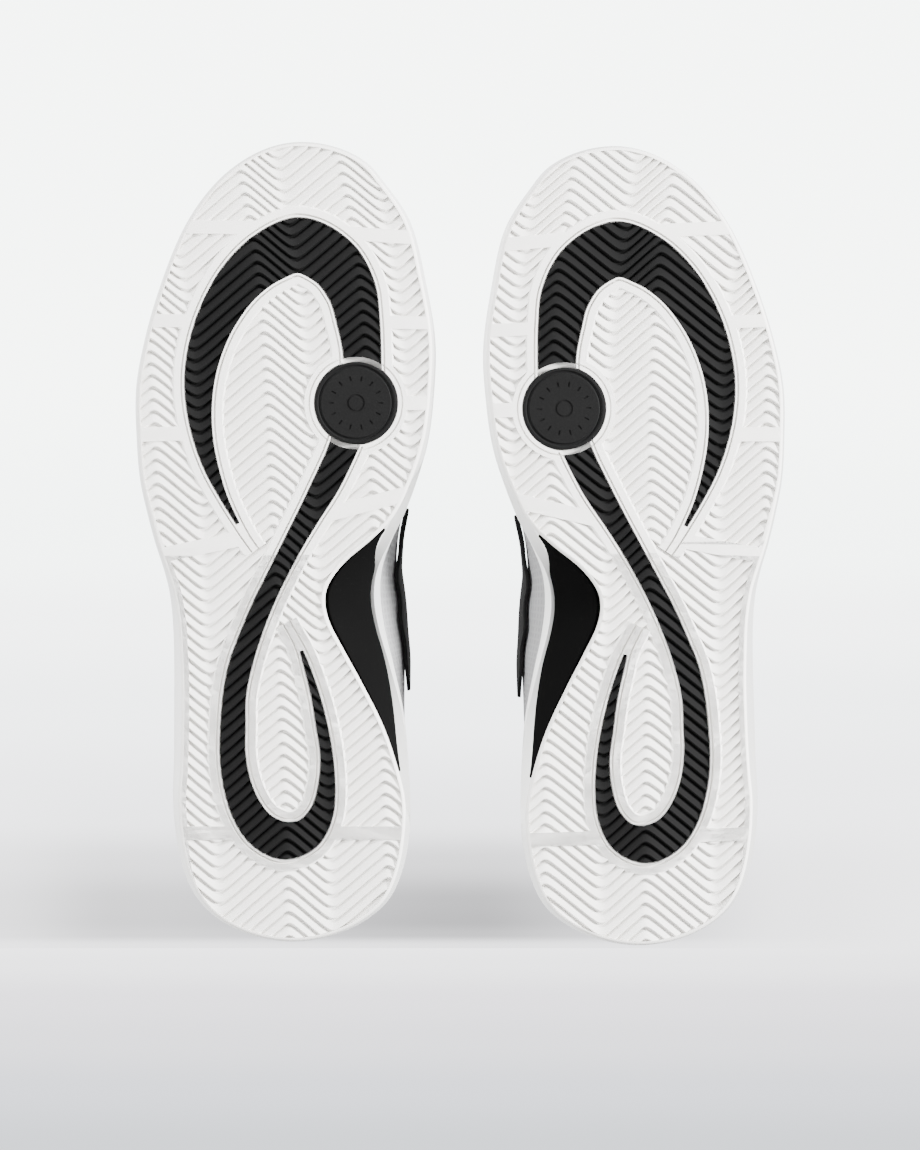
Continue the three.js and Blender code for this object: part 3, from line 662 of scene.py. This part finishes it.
def flank(t, level):
    level = np.broadcast_to(np.asarray(level, float), np.shape(t))
    bulge = foam["bulge"] * np.sin(math.pi * np.clip(level, 0, 1))
    flat = offsetOutline(t, np.sin(math.pi / 2 * level), bulge)
    low = liftAt(flat[..., 1]) + treadThickness + clearance
    z = low + (footBedAt(flat[..., 1]) + foam["bedRim"] - low) * level
    return np.concatenate([flat, z[..., None]], -1)


def normalOf(skin, t, s):
    along = skin(t + 0.004, s) - skin(t - 0.004, s)
    up = skin(t, s + 0.004) - skin(t, s - 0.004)
    across = np.cross(along, up)
    return across / np.linalg.norm(across, axis=-1, keepdims=True)


def makeMidsole():
    t = roundTurns
    recess = foam["recess"] * smoothstep(t, archFrom - 0.06, archFrom - 0.02)
    recess = recess * (1 - smoothstep(t, archTo + 0.02, archTo + 0.06))
    rings = []
    for level in (0, 0.03, 0.15, 0.3, 0.45, 0.58, wrapTop, wrapTop + 0.03, 0.72, 0.82, 0.92, 0.98, 1):
        depth = recess if level <= wrapTop else 0
        soft = 0.5 * (1 - math.sqrt(1 - max(0, (level - 0.92) / 0.08) ** 2)) if level > 0.92 else 0.0
        height = np.full(t.shape, level)
        inward = normalOf(flank, t, height) * np.broadcast_to(depth + soft, t.shape)[:, None]
        rings.append(flank(t, height) - inward)
    arch = smoothstep(t, turnOf(50), turnOf(85)) * (1 - smoothstep(t, turnOf(125), turnOf(155)))
    width = foam["rim"] * (1 - 0.8 * arch)
    for blend, inset, rise in ((1, width * 0.4, 3.0), (1, width, 2.9), (1, np.full(t.shape, 3.1), 0.0)):
        flat = offsetOutline(t, 1, -np.asarray(inset))
        rings.append(np.concatenate([flat, (footBedAt(flat[:, 1]) + rise)[:, None]], 1))
    setPiece(ringSolid("midsole", rings), "midsole", "whiteFoam", ["midsole"], 40)


makeMidsole()


# places from 0 to 1 along a side of that length, close together over its rounded edges,
# and how far each turns down
def edgePlaces(length, rounding, cells):
    angles = np.linspace(0, math.pi / 2, 4)
    near = rounding * (1 - np.cos(angles)) / length
    drop = 1 - np.sin(angles)
    middle = np.linspace(near[-1], 1 - near[-1], cells)[1:-1]
    return np.concatenate([near, middle, 1 - near[::-1]]), np.concatenate([drop, 0 * middle, drop[::-1]])


def lengthOf(line):
    return np.linalg.norm(np.diff(line, axis=0), axis=1).sum()


def steady(value):  # a number as a function of the turn, or the function itself
    return value if callable(value) else lambda turn: np.full(np.shape(turn), value)


# A panel of a skin between two depths, with rolled edges. t and s are its ranges round and up,
# and s may follow t. A zipped one closes on itself along its top.
def sheetPiece(name, skin, t, s, layer, step=1.6, rounding=0.6, zipped=False):
    low, top = steady(s[0]), steady(s[1])
    middleTurn = np.linspace(t[0], t[1], 60)
    around = lengthOf(skin(middleTurn, (low(middleTurn) + top(middleTurn)) / 2))
    climb = np.linspace(0, 1, 30)
    tall = 0
    for m in np.linspace(t[0], t[1], 5):
        foot, head = low(np.full(1, m)), top(np.full(1, m))
        tall = max(tall, lengthOf(skin(np.full(30, m), foot + (head - foot) * climb)))
    columns, columnDrop = edgePlaces(around, rounding, max(8, int(around / step)))
    rows, rowDrop = edgePlaces(tall, rounding, max(5, int(tall / step)))
    if zipped:
        columns = (columns + 1 - columns[::-1]) / 2
        keepRows = rows < 0.5
        rows = np.concatenate([rows[keepRows], np.linspace(0.5, 1, max(4, int(tall / step / 2)))])
        rowDrop = np.concatenate([rowDrop[keepRows], np.zeros(len(rows) - keepRows.sum())])
    turn = t[0] + (t[1] - t[0]) * columns
    turns = np.broadcast_to(turn[:, None], (len(turn), len(rows)))
    climbs = low(turn)[:, None] + (top(turn) - low(turn))[:, None] * rows[None, :]
    depths = layer(turns, climbs) if callable(layer) else [np.full(turns.shape, depth) for depth in layer]
    normal = normalOf(skin, turns, climbs)
    base = skin(turns, climbs)
    turned = np.maximum(columnDrop[:, None], rowDrop[None, :])
    outer = base + normal * (depths[1] - rounding * turned)[..., None]
    inner = base + normal * depths[0][..., None]
    n, m = turns.shape
    count = n * m
    outside = grid(n, m)
    # distances along the panel for woven patterns
    u = np.cumsum(np.concatenate([np.zeros((1, m)), np.linalg.norm(np.diff(base, axis=0), axis=-1)]), axis=0)
    v = np.cumsum(np.concatenate([np.zeros((n, 1)), np.linalg.norm(np.diff(base, axis=1), axis=-1)], 1), axis=1)
    u = np.broadcast_to(u[:, m // 2][:, None], u.shape)
    uv = np.stack([u, v], -1).reshape(-1, 2) / 1000
    first, last = np.arange(m), (n - 1) * m + np.arange(m)
    bottom, upper = np.arange(n) * m, np.arange(n) * m + m - 1
    edges = [(first, first + count), (last + count, last), (bottom + count, bottom)]
    if not zipped:
        edges.append((upper, upper + count))
    sides = [np.stack([a[:-1], a[1:], b[1:], b[:-1]], -1) for a, b in edges]
    faces = np.vstack([outside[:, ::-1], outside + count, *sides])
    if zipped:
        swap = np.arange(2 * count)
        for i in range(n // 2 + n % 2, n):
            for shift in (0, count):
                swap[shift + i * m + m - 1] = shift + (n - 1 - i) * m + m - 1
        faces = swap[faces]
        faces = faces[(np.sort(faces, 1)[:, 1:] != np.sort(faces, 1)[:, :-1]).all(1)]
    points = np.concatenate([outer.reshape(-1, 3), inner.reshape(-1, 3)])
    return workObject(name, points, [faces], np.concatenate([uv, uv]))


# makes a panel and stands it in both shoes under its own name
def setPanel(part, look, skin, t, s, layer, step, rounding, angle, zipped=False, body="shoe"):
    panel = sheetPiece(part, skin, t, s, layer, step, rounding, zipped)
    setPiece(panel, part, look, [part], angle, body)


def wrapEdge(t):
    y = lengthAt(t)
    return 0.05 + (wrapTop - 0.08) * smoothstep(y, 50, 96) ** 0.8 * (1 - 0.9 * smoothstep(y, 120, 135))


archWrap = {"thickness": 1.8, "step": 1.2, "rounding": 0.4}
setPanel("arch_wrap", "archPlastic", flank, (archFrom, archTo), (0.03, wrapEdge),
    (-archWrap["thickness"], 0), archWrap["step"], archWrap["rounding"], 35)

# upper
upperInset, upperThickness = 3.45, 1.6
throatFront = float(turnOf(174))
# the opening's edge: its place along the foot, half gap and height above the foot bed
edgeRows = profile([
    [0, 5, 0, 50], [8, 9.5, 14, 49.5], [20, 20, 22.5, 47.5], [40, 40, 27.5, 43.5], [60, 60, 29.5, 41.5],
    [75, 74.5, 28.5, 45], [88, 88, 24.5, 53.5], [98, 98, 18, 61.5], [106, 106, 14.8, 63], [120, 120, 13.5, 60],
    [140, 140, 12.5, 54.5], [158, 158, 11, 48.5], [168, 168, 7, 45.6], [174, 173, 0, 44.2],
    [190, 187, 0, 40.6], [210, 204, 0, 35.8], [230, 218, 0, 31.6], [250, 228, 0, 28.4], [260, 231, 0, 27.6],
])
# swell of the outer and inner side, reach of the curve towards the edge and how far it dips
fullness = profile([
    [0, 2.5, 2.5, 0.25, 15], [40, 2, 3, 0.3, 14], [75, 2, 9, 0.35, 14], [98, 2.5, 18, 0.5, 9],
    [110, 3, 20, 0.53, 8], [125, 3, 16, 0.56, 8], [140, 4, 9, 0.6, 7.5], [160, 5, 5, 0.6, 6.5],
    [174, 6, 5, 0.6, 0], [200, 7, 5, 0.62, 0], [230, 6, 6, 0.58, 0], [260, 5, 5, 0.5, 0],
])


def upperSkin(turn, climb):
    turn, climb = np.broadcast_arrays(np.asarray(turn, float), np.asarray(climb, float))
    t = wrapTurn(turn)
    s = np.clip(climb, -0.02, 1.02)
    overRidge = np.abs(t) >= throatFront
    over = (s > 1) & overRidge
    t, s = np.where(over, -t, t), np.where(over, 2 - s, s)
    medial = t >= 0
    edgeY, edgeX, edgeH = np.moveaxis(edgeRows(t), -1, 0)
    bulgeLateral, bulgeMedial, reach, drop = np.moveaxis(fullness(t), -1, 0)
    foot = offsetOutline(t, 1, -upperInset)
    belly = offsetOutline(t, 1, -upperInset + np.where(medial, bulgeMedial, bulgeLateral))
    low = footBedAt(foot[..., 1]) + clearance
    ridge = 2.6 * smoothstep(np.abs(t), throatFront, 1)
    halfGap = np.where(overRidge, 0, np.maximum(edgeX, 0))
    edge = np.stack([ridge + np.where(medial, halfGap, -halfGap), edgeY], -1)
    edgeZ = footBedAt(edgeY) + edgeH
    handle = (belly - edge) * reach[..., None] + edge
    handleZ = edgeZ - np.where(overRidge, 0, drop)
    corners = [np.concatenate([p, z[..., None]], -1)
        for p, z in ((foot, low), (belly, low + (edgeZ - low) * 0.42), (handle, handleZ), (edge, edgeZ))]
    q = 1 - s
    weights = (q**3, 3 * q * q * s, 3 * q * s * s, s**3)
    return sum(w[..., None] * c for w, c in zip(weights, corners))


def sideRange(hand, start, end):
    return (start, end) if hand > 0 else (-end, -start)


stitch = {"every": 2.8, "radius": 0.28, "length": 1.9}


def takeAt(values, steps, at):
    return np.stack([np.interp(at, steps, values[:, i]) for i in range(3)], 1)


def stitching(skin, turns, climbs, height):  # a row of thread stitches lying on a skin
    every, radius, length = stitch["every"], stitch["radius"], stitch["length"]
    normal = normalOf(skin, turns, climbs)
    line = skin(turns, climbs) + normal * height
    steps = np.concatenate([[0], np.cumsum(np.linalg.norm(np.diff(line, axis=0), axis=1))])
    at = np.arange(every / 2, steps[-1] - every / 2, every)
    middle, out = takeAt(line, steps, at), takeAt(normal, steps, at)
    along = takeAt(line, steps, at + length / 2) - takeAt(line, steps, at - length / 2)
    along /= np.linalg.norm(along, axis=1, keepdims=True)
    across = np.cross(along, out)
    profileRows = ((-0.5, 0.25, -0.4), (-0.35, 0.85, 0.1), (0, 1, 0.35), (0.35, 0.85, 0.1), (0.5, 0.25, -0.4))
    angle = np.arange(6) * math.pi / 3
    points = []
    for share, thick, rise in profileRows:
        for a in angle:
            points.append(middle + along * (share * length) + across * (radius * thick * math.cos(a))
                + out * (radius * thick * math.sin(a) + rise * radius))
    points = np.stack(points, 1)
    each = points.shape[1]
    base = np.arange(len(at))[:, None, None] * each
    quads = (grid(5, 6, True)[None] + base).reshape(-1, 4)
    caps = (np.array([[5, 4, 3, 2, 1, 0], [24, 25, 26, 27, 28, 29]])[None] + base).reshape(-1, 6)
    return points.reshape(-1, 3), quads, caps


def stitchPiece(part, rows):
    points, quads, caps, shift = [], [], [], 0
    for p, q, c in rows:
        points.append(p)
        quads.append(q + shift)
        caps.append(c + shift)
        shift += len(p)
    made = workObject(part, np.concatenate(points), [np.vstack(quads), np.vstack(caps)])
    setPiece(made, part, "thread", angle=60)


under, over = (-upperThickness, 0), (0.9, 2.0)  # depths of the base layer and of what is sewn over it
seam = 0.005  # half of the gap at the back seam, as a turn value
throatGap = 0.003
grain, close, fine = 1.8, 1.2, 1.0  # how far apart a panel's points are

setPanel("vamp", "whiteSynthetic", upperSkin,
    (throatFront + throatGap, 2 - throatFront - throatGap), (0, 1), under, grain, 0.5, 50, zipped=True)
capFrom = float(turnOf(206))


def capTop(t):
    return 0.34 + 0.2 * np.cos((t - 1) / (1 - capFrom) * math.pi / 2)


setPanel("toe_cap", "whiteSynthetic", upperSkin, (capFrom, 2 - capFrom), (0.17, capTop),
    over, 1.6, 0.7, 50)
eyestayFrom, eyestayTo, eyestayEdge = float(turnOf(95)), float(turnOf(170)), 0.78


def quarterTop(t):
    return 1 - (1 - eyestayEdge + 0.025) * smoothstep(np.abs(t), eyestayFrom - 0.02, eyestayFrom)


eyelets = {
    "rows": 6,
    "from": 103,
    "to": 160,
    "climb": 0.9,  # how far up the skin
    "hole": 2.3,
    # the rolled lip, as (radius, height above the skin)
    "lip": [(2.25, -0.2), (2.2, 1.15), (2.35, 1.5), (2.8, 1.65), (3.3, 1.5), (3.45, 1.05), (3.0, 0.9)],
    "sides": 32,
}


def eyeletTurn(row):
    first = turnOf(eyelets["from"])
    return first + (turnOf(eyelets["to"]) - first) * row / (eyelets["rows"] - 1)


grip = {"middle": 0.31, "end": 0.012, "swell": 0.1, "wave": 0.1, "waves": 4}
gripFrom, gripTo = float(turnOf(80)), float(turnOf(142))


def gripHalf(t):
    share = np.clip((np.abs(t) - gripFrom) / (gripTo - gripFrom), 0, 1)
    return grip["end"] + grip["swell"] * (1 - np.abs(2 * share - 1) ** 3) ** 0.6, share


def gripLow(t):  # a wavy lower edge
    half, share = gripHalf(t)
    return grip["middle"] - half + grip["wave"] * half * np.cos(share * grip["waves"] * 2 * math.pi)


def gripTop(t):
    return grip["middle"] + gripHalf(t)[0]


# makes the holes of one side's eyestay and the lips that go in them
def eyeletShapes(hand):
    holes, lips = [], []
    sides = eyelets["sides"]
    angle = np.arange(sides) * 2 * math.pi / sides
    climb = np.array([eyelets["climb"]])
    for row in range(eyelets["rows"]):
        t = np.array([hand * eyeletTurn(row)])
        middle, out = upperSkin(t, climb)[0], normalOf(upperSkin, t, climb)[0]
        acrossHole = np.cross(out, (0, 1, 0))
        acrossHole /= np.linalg.norm(acrossHole)
        circle = np.outer(np.cos(angle), acrossHole) + np.outer(np.sin(angle), np.cross(out, acrossHole))
        holes.append(loft("hole", [(middle + circle * eyelets["hole"] + out * d)[::-1] for d in (-4, 4)]))
        lips.append(np.array([middle + circle * r + out * d for r, d in eyelets["lip"]]))
    rings = len(eyelets["lip"])
    near, last = np.arange(sides), (rings - 1) * sides
    beside = (near + 1) % sides
    shut = np.stack([near + last, beside + last, beside, near], -1)
    one = np.vstack([grid(rings, sides, True), shut])
    faces = np.vstack([one + i * rings * sides for i in range(eyelets["rows"])])
    return holes, workObject("eyelets", np.array(lips).reshape(-1, 3), [faces])


stitches = []
for hand, side in ((1, "medial"), (-1, "lateral")):
    reach = sideRange(hand, seam, throatFront - throatGap)
    setPanel(side + "_quarter", "greyMesh", upperSkin, reach, (0, quarterTop), under, grain, 0.5, 50)
    stay = sheetPiece("eyestay", upperSkin, sideRange(hand, eyestayFrom + 0.006, eyestayTo), (eyestayEdge, 1),
        (-upperThickness, 1.1), close, 0.6)
    holes, lips = eyeletShapes(hand)
    carve(stay, [("DIFFERENCE", hole) for hole in holes])
    remove(*holes)
    setPiece(stay, side + "_eyestay", "whiteSynthetic", [side + "_eyestay"], 45)
    setPiece(lips, side + "_eyelets", "eyelet", angle=60)
    setPanel(side + "_grip", "blackRubber", upperSkin, sideRange(hand, gripFrom, gripTo),
        (gripLow, gripTop), over, fine, 0.5, 45)
    turns = np.linspace(hand * (eyestayFrom + 0.015), hand * (eyestayTo - 0.004), 90)
    for climb in (eyestayEdge + 0.03, 0.965):
        stitches.append(stitching(upperSkin, turns, np.full(90, climb), 1.15))
turns = np.linspace(capFrom + 0.01, 2 - capFrom - 0.01, 200)
for below in (0.03, 0.06):
    stitches.append(stitching(upperSkin, turns, capTop(turns) - below, 2.05))
tabHalf = float(turnOf(13))
setPanel("heel_tab", "whiteSynthetic", upperSkin, (-tabHalf, tabHalf), (0.15, 0.97),
    over, close, 0.7, 50)
for hand in (1, -1):
    turns = np.full(60, hand * (tabHalf - 0.014))
    stitches.append(stitching(upperSkin, turns, np.linspace(0.19, 0.94, 60), 2.05))
stitchPiece("stitching", stitches)

liningHalf = float(turnOf(94))
setPanel("heel_lining", "lining", upperSkin, (-liningHalf, liningHalf), (0.16, 0.64),
    (-4.9, -4.0), 2.0, 0.3, 50)
collar = {"low": 0.67, "top": 0.98, "outer": -2.2, "edge": 1.6, "swell": 3}
collarHalf = float(turnOf(78))


def collarLayer(t, s):  # thin at its edges, full in the middle
    swell = np.sin(math.pi * np.clip((s - collar["low"]) / 0.31, 0, 1))
    outer = np.full(np.shape(t), collar["outer"])
    return outer - collar["edge"] - collar["swell"] * swell, outer


setPanel("collar", "lining", upperSkin, (-collarHalf, collarHalf), (collar["low"], collar["top"]),
    collarLayer, grain, 0.7, 60)

# tongue and lace; the rows are height above the foot bed and half width
tongueShape = {"from": 80, "length": 90, "thickness": 4.5, "crown": 28}
tongueRows = profile([
    [80, 78, 14.5], [84, 74.5, 16.5], [90, 69, 17.5], [98, 62.6, 18.5], [106, 59.6, 19.5], [120, 56.2, 20],
    [140, 50.6, 18], [158, 44.4, 15.5], [170, 40.8, 12.5],
])


def tongueSkin(a, b):
    a, b = np.broadcast_arrays(np.asarray(a, float), np.asarray(b, float))
    y = tongueShape["from"] + tongueShape["length"] * b
    height, half = np.moveaxis(tongueRows(turnOf(y)), -1, 0)
    x = a * half
    crown = tongueShape["crown"]
    fall = crown - np.sqrt(crown**2 - np.minimum(np.abs(x), crown - 1) ** 2)
    return np.stack([x, y, footBedAt(y) + height - fall], -1)


setPanel("tongue", "greyMesh", tongueSkin, (-1, 1), (0, 1), (-tongueShape["thickness"], 0),
    grain, 1.6, 60, body="tongue_body")

# the lace's course over one row, as (which side, height above the skin, climb, half width)
laceSteps = [(1, -3.2, 0.9, 1.1), (1, -0.8, 0.9, 1.0), (1, 2.2, 0.905, 1.1), (1, 2.6, 0.95, 2.2),
    (-1, 2.6, 0.95, 2.2), (-1, 2.2, 0.905, 1.1), (-1, -0.8, 0.9, 1.0), (-1, -3.2, 0.9, 1.1)]


def makeLace():  # a flat braided lace through the eyelets, pinched where it passes through
    points, outs, wide = [], [], []
    hand = 1
    for row in range(eyelets["rows"] - 1, -1, -1):
        for way, height, climb, width in laceSteps:
            t, up = np.array([way * hand * eyeletTurn(row)]), np.array([climb])
            out = normalOf(upperSkin, t, up)[0]
            points.append(upperSkin(t, up)[0] + out * height)
            outs.append(out)
            wide.append(width)
        hand = -hand
    points, outs, wide = np.array(points), np.array(outs), np.array(wide)
    steps = np.concatenate([[0], np.cumsum(np.linalg.norm(np.diff(points, axis=0), axis=1))])
    curve = spline(steps, np.concatenate([points, outs, wide[:, None]], 1))
    at = np.linspace(0, steps[-1], 900)
    value = curve(at)
    middle, out, half = value[:, :3], value[:, 3:6], np.clip(value[:, 6], 0.95, 2.3)
    along = np.gradient(middle, axis=0)
    along /= np.linalg.norm(along, axis=1, keepdims=True)
    flat = np.array([0.0, 1.0, 0.0]) - along * along[:, 1:2]
    across = flat / np.maximum(np.linalg.norm(flat, axis=1, keepdims=True), 0.2)
    across -= along * (across * along).sum(1, keepdims=True)
    across /= np.linalg.norm(across, axis=1, keepdims=True)
    up = np.cross(along, across)
    sides = 14
    angle = np.arange(sides) * 2 * math.pi / sides
    thick = np.minimum(1.15, 1.0 / half + 0.1)
    sections = np.stack([middle + across * (half * math.cos(a))[:, None]
        + up * (thick * np.sign(math.sin(a)) * abs(math.sin(a)) ** 0.7)[:, None] for a in angle], 1)
    count = len(at)
    ends = np.arange(sides)
    uv = np.stack(np.broadcast_arrays(at[:, None], ends[None] * 0.45), -1) / 1000
    faces = [grid(count, sides, True), np.vstack([ends[::-1], ends + (count - 1) * sides])]
    made = workObject("lace", sections.reshape(-1, 3), faces, uv.reshape(-1, 2))
    setPiece(made, "lace", "lace", ["lace"], 60)


makeLace()


# The insole's rings from its outer foot to its middle, as (inset, rise, share of the raised rim).
insole = {"thickness": 3.5, "cup": 3, "edge": (5.2, 2.6)}
insoleRings = [(-1.2, 0, 0), (-0.3, 0.3, 0), (0, 1.5, 0), (0, -0.6, 1), (-0.5, -0.1, 1), (-1.4, 0, 1),
    (-2, -0.1, 1), (-3.5, 0, 0.5), (-8, insole["thickness"], 0)]


def makeInsole():
    t = roundTurns
    heelEdge, toeEdge = insole["edge"]
    along = lengthAt(np.abs(wrapTurn(t)))
    edge = -(upperInset + upperThickness + heelEdge + (toeEdge - heelEdge) * smoothstep(along, 90, 150))
    rings = []
    for inset, rise, raisedShare in insoleRings:
        flat = offsetOutline(t, 1, edge + inset)
        low = footBedAt(flat[:, 1]) + 1.9
        middle = low + insole["thickness"]
        raised = middle + insole["cup"] * (1 - smoothstep(flat[:, 1], 90, 150))
        if raisedShare == 1:
            z = raised + rise
        elif raisedShare:
            z = (raised + middle) / 2
        else:
            z = low + rise
        rings.append(np.concatenate([flat, z[:, None]], 1))
    made = ringSolid("insole", rings)
    layer = made.data.uv_layers.new(name="UVMap")
    index = np.zeros(len(made.data.loops), np.int32)
    made.data.loops.foreach_get("vertex_index", index)
    layer.data.foreach_set("uv", (np.concatenate(rings)[index, :2] / 1000).astype(np.float32).ravel())
    setPiece(made, "insole", "lining", ["insole"], 50, body="insole_body")


makeInsole()
for name, cad in frame["nodes"].items():
    if any(word in name for word in ("toe_puff", "heel_counter", "lasting_board")):
        cad.data.materials.clear()
        cad.data.materials.append(finishes["stiffener"])
print("upper made")


# stage
def plane(name, corners, material):
    made = workObject(name, np.array(corners, float), [np.array([[0, 1, 2, 3]])], closed=False)
    made.data.materials.append(material)
    return made


brightest = 8  # tone that a ramp's full value stands for


def toneRamp(tree, value, stops, span):  # tones along a value; the first two stops are the span's ends
    along = node(tree, "MapRange", {"Value": value, "From Min": span[0], "From Max": span[1]})
    ramp = node(tree, "ValToRGB", {"Fac": along.outputs["Result"]})
    made = ramp.color_ramp.elements
    for i, (at, tone) in enumerate(stops):
        share = (at - span[0]) / (span[1] - span[0])
        stop = made[(0, -1)[i]] if i < 2 else made.new(share)
        stop.color = (*(np.ones(3) * tone / brightest), 1)
    ramp.color_ramp.interpolation = "EASE"
    return ramp.outputs["Color"]


# a sheet that is seen from its front only; its tone runs along an axis. Unless lit, it glows with that tone as
# painted light, and shade takes a painted shadow off it.
def oneSided(name, axis, stops, span, shade=None, lit=False):
    material, tree = blank(name)
    places = node(tree, "SeparateXYZ", {"Vector": node(tree, "TexCoord").outputs["Object"]}).outputs
    colour = toneRamp(tree, places[axis], stops, span)
    if shade:
        across, down = [toneRamp(tree, places[way], tones, reach) for way, tones, reach in shade]
        both = node(tree, "VectorMath", {0: across, 1: down}, operation="MULTIPLY").outputs[0]
        left = node(tree, "VectorMath", {0: (1, 1, 1), 1: both}, operation="SUBTRACT").outputs[0]
        colour = node(tree, "VectorMath", {0: colour, 1: left}, operation="MULTIPLY").outputs[0]
    if lit:
        shown = node(tree, "BsdfDiffuse", {"Color": colour}).outputs[0]
    else:
        shown = node(tree, "Emission", {"Color": colour, "Strength": brightest}).outputs[0]
    clear = node(tree, "BsdfTransparent").outputs[0]
    mix = node(tree, "MixShader", {0: node(tree, "NewGeometry").outputs["Backfacing"], 1: shown, 2: clear})
    node(tree, "OutputMaterial", {"Surface": mix.outputs[0]})
    return material


def quiet(o):  # seen by the camera only
    o.visible_shadow = o.visible_diffuse = o.visible_glossy = o.visible_transmission = False


ground = plane("ground", [(-6, -6, 0), (6, -6, 0), (6, 6, 0), (-6, 6, 0)],
    oneSided("pale studio floor", "Y", [(-6, 6.4), (6, 6.4)], (-6, 6), lit=True))
quiet(ground)
heelEnd = loadedBounds[1].y
# the floor by the heels glows with painted light, darker further from the heels
floorTones = [(-0.52, (1.45, 1.52, 1.62)), (0, (3.2, 3.2, 3.3)), (-0.41, (1.75, 1.8, 1.95)),
    (-0.3, (2.12, 2.12, 2.25)), (-0.18, (2.4, 2.35, 2.5)), (-0.06, (3.0, 3.0, 3.1))]
floorCorners = [(-0.8, heelEnd, -0.9), (0.8, heelEnd, -0.9), (0.8, heelEnd, 0), (-0.8, heelEnd, 0)]
floor = plane("standing_floor", floorCorners, oneSided("pale paper underfoot", "Z", floorTones, (-0.52, 0)))
quiet(floor)
backY = 0.19
# the backdrop glows with painted light, darker towards the heels
backTones = [(-0.23, (6.6, 7.0, 6.8)), (backY, (3.15, 3.15, 3.25)), (-0.08, (6.5, 6.9, 6.7)),
    (0.0, (5.6, 6.0, 5.9)), (0.03, (4.9, 5.05, 5.1)), (0.065, (4.15, 4.3, 4.4)),
    (0.1, (3.75, 3.8, 3.95)), (0.14, (3.3, 3.3, 3.4))]
# the soft shadow behind the heels, as shares taken off the tone, across and down
shadowAcross = [(-0.2, 0.32), (0.2, 0), (-0.144, 0.56), (0.008, 0.74), (0.06, 0.6), (0.144, 0.1)]
shadowDown = [(0.075, 0), (backY, 0), (0.114, 0.22), (0.131, 0.65), (0.148, 0.97), (0.157, 1),
    (0.1625, 0.9), (0.167, 0.3)]


def scaled(stops):
    return [(at, value * brightest) for at, value in stops]


backCorners = [(-0.4, -0.4, 0.45), (-0.4, backY, 0.45), (0.4, backY, 0.45), (0.4, -0.4, 0.45)]
shadow = [("X", scaled(shadowAcross), (-0.2, 0.2)), ("Y", scaled(shadowDown), (0.075, backY))]
backdrop = plane("backdrop", backCorners,
    oneSided("pale backdrop paper", "Y", backTones, (-0.23, backY), shade=shadow))
quiet(backdrop)

world = bpy.data.worlds.new("pale sky")
world.use_nodes = True
world.node_tree.nodes["Background"].inputs["Color"].default_value = (0.97, 0.98, 1, 1)
world.node_tree.nodes["Background"].inputs["Strength"].default_value = 0.6
bpy.context.scene.world = world


def areaLight(name, at, towards, size, power):
    light = bpy.data.lights.new(name, "AREA")
    light.shape, light.size, light.energy = "DISK", size, power
    made = bpy.data.objects.new(name, light)
    bpy.context.scene.collection.objects.link(made)
    made.location = at
    made.rotation_euler = (Vector(towards) - Vector(at)).to_track_quat("-Z", "Y").to_euler()
    return made


def keepTo(light, lit):  # the light falls only on the pieces that lit picks by name
    group = bpy.data.collections.new("lit by the " + light.name)
    for o in bpy.context.scene.objects:
        if o.type == "MESH" and lit(o.name):
            group.objects.link(o)
    light.light_linking.receiver_collection = group


upperWords = ("vamp", "toe_cap", "lace", "eyestay", "eyelet", "heel_tab", "collar", "tongue", "lining",
    "insole", "stitching", "lateral")


def isFoam(name):
    return "midsole" in name


def isLow(name):
    return not any(word in name for word in upperWords)


def isTread(name):
    return isLow(name) and not isFoam(name)


# The low lights are for the soles. Kept off the upper, they don't bleach it as seen from above.
lowKey = areaLight("key from the right", (1.85, -0.35, -0.74), (0, 0, 0), 0.4, 270)
toeLight = areaLight("toe side light", (-0.3, -1.8, -0.8), (0, 0, 0), 0.6, 75)
leftFill = areaLight("soft fill from the left", (-1.6, 0.3, -0.9), (0, 0, 0), 1.2, 62)
areaLight("front fill", (0.1, -0.2, -2.2), (0, 0, 0), 1.6, 15)
foamKey = areaLight("key on the foam", (1.85, -0.35, -0.74), (0, 0, 0), 0.4, 120)
keepTo(lowKey, isTread)
keepTo(foamKey, isFoam)
keepTo(toeLight, isLow)
keepTo(leftFill, isLow)
areaLight("overhead key", (0.8, -1.0, 1.5), (0, 0, 0.05), 0.8, 42)
areaLight("overhead fill", (-1.2, -0.3, 1.0), (0, 0, 0.05), 1.2, 16)
areaLight("rear top", (0.2, 1.3, 1.3), (0, 0, 0.05), 1.0, 22)
print("stage made")
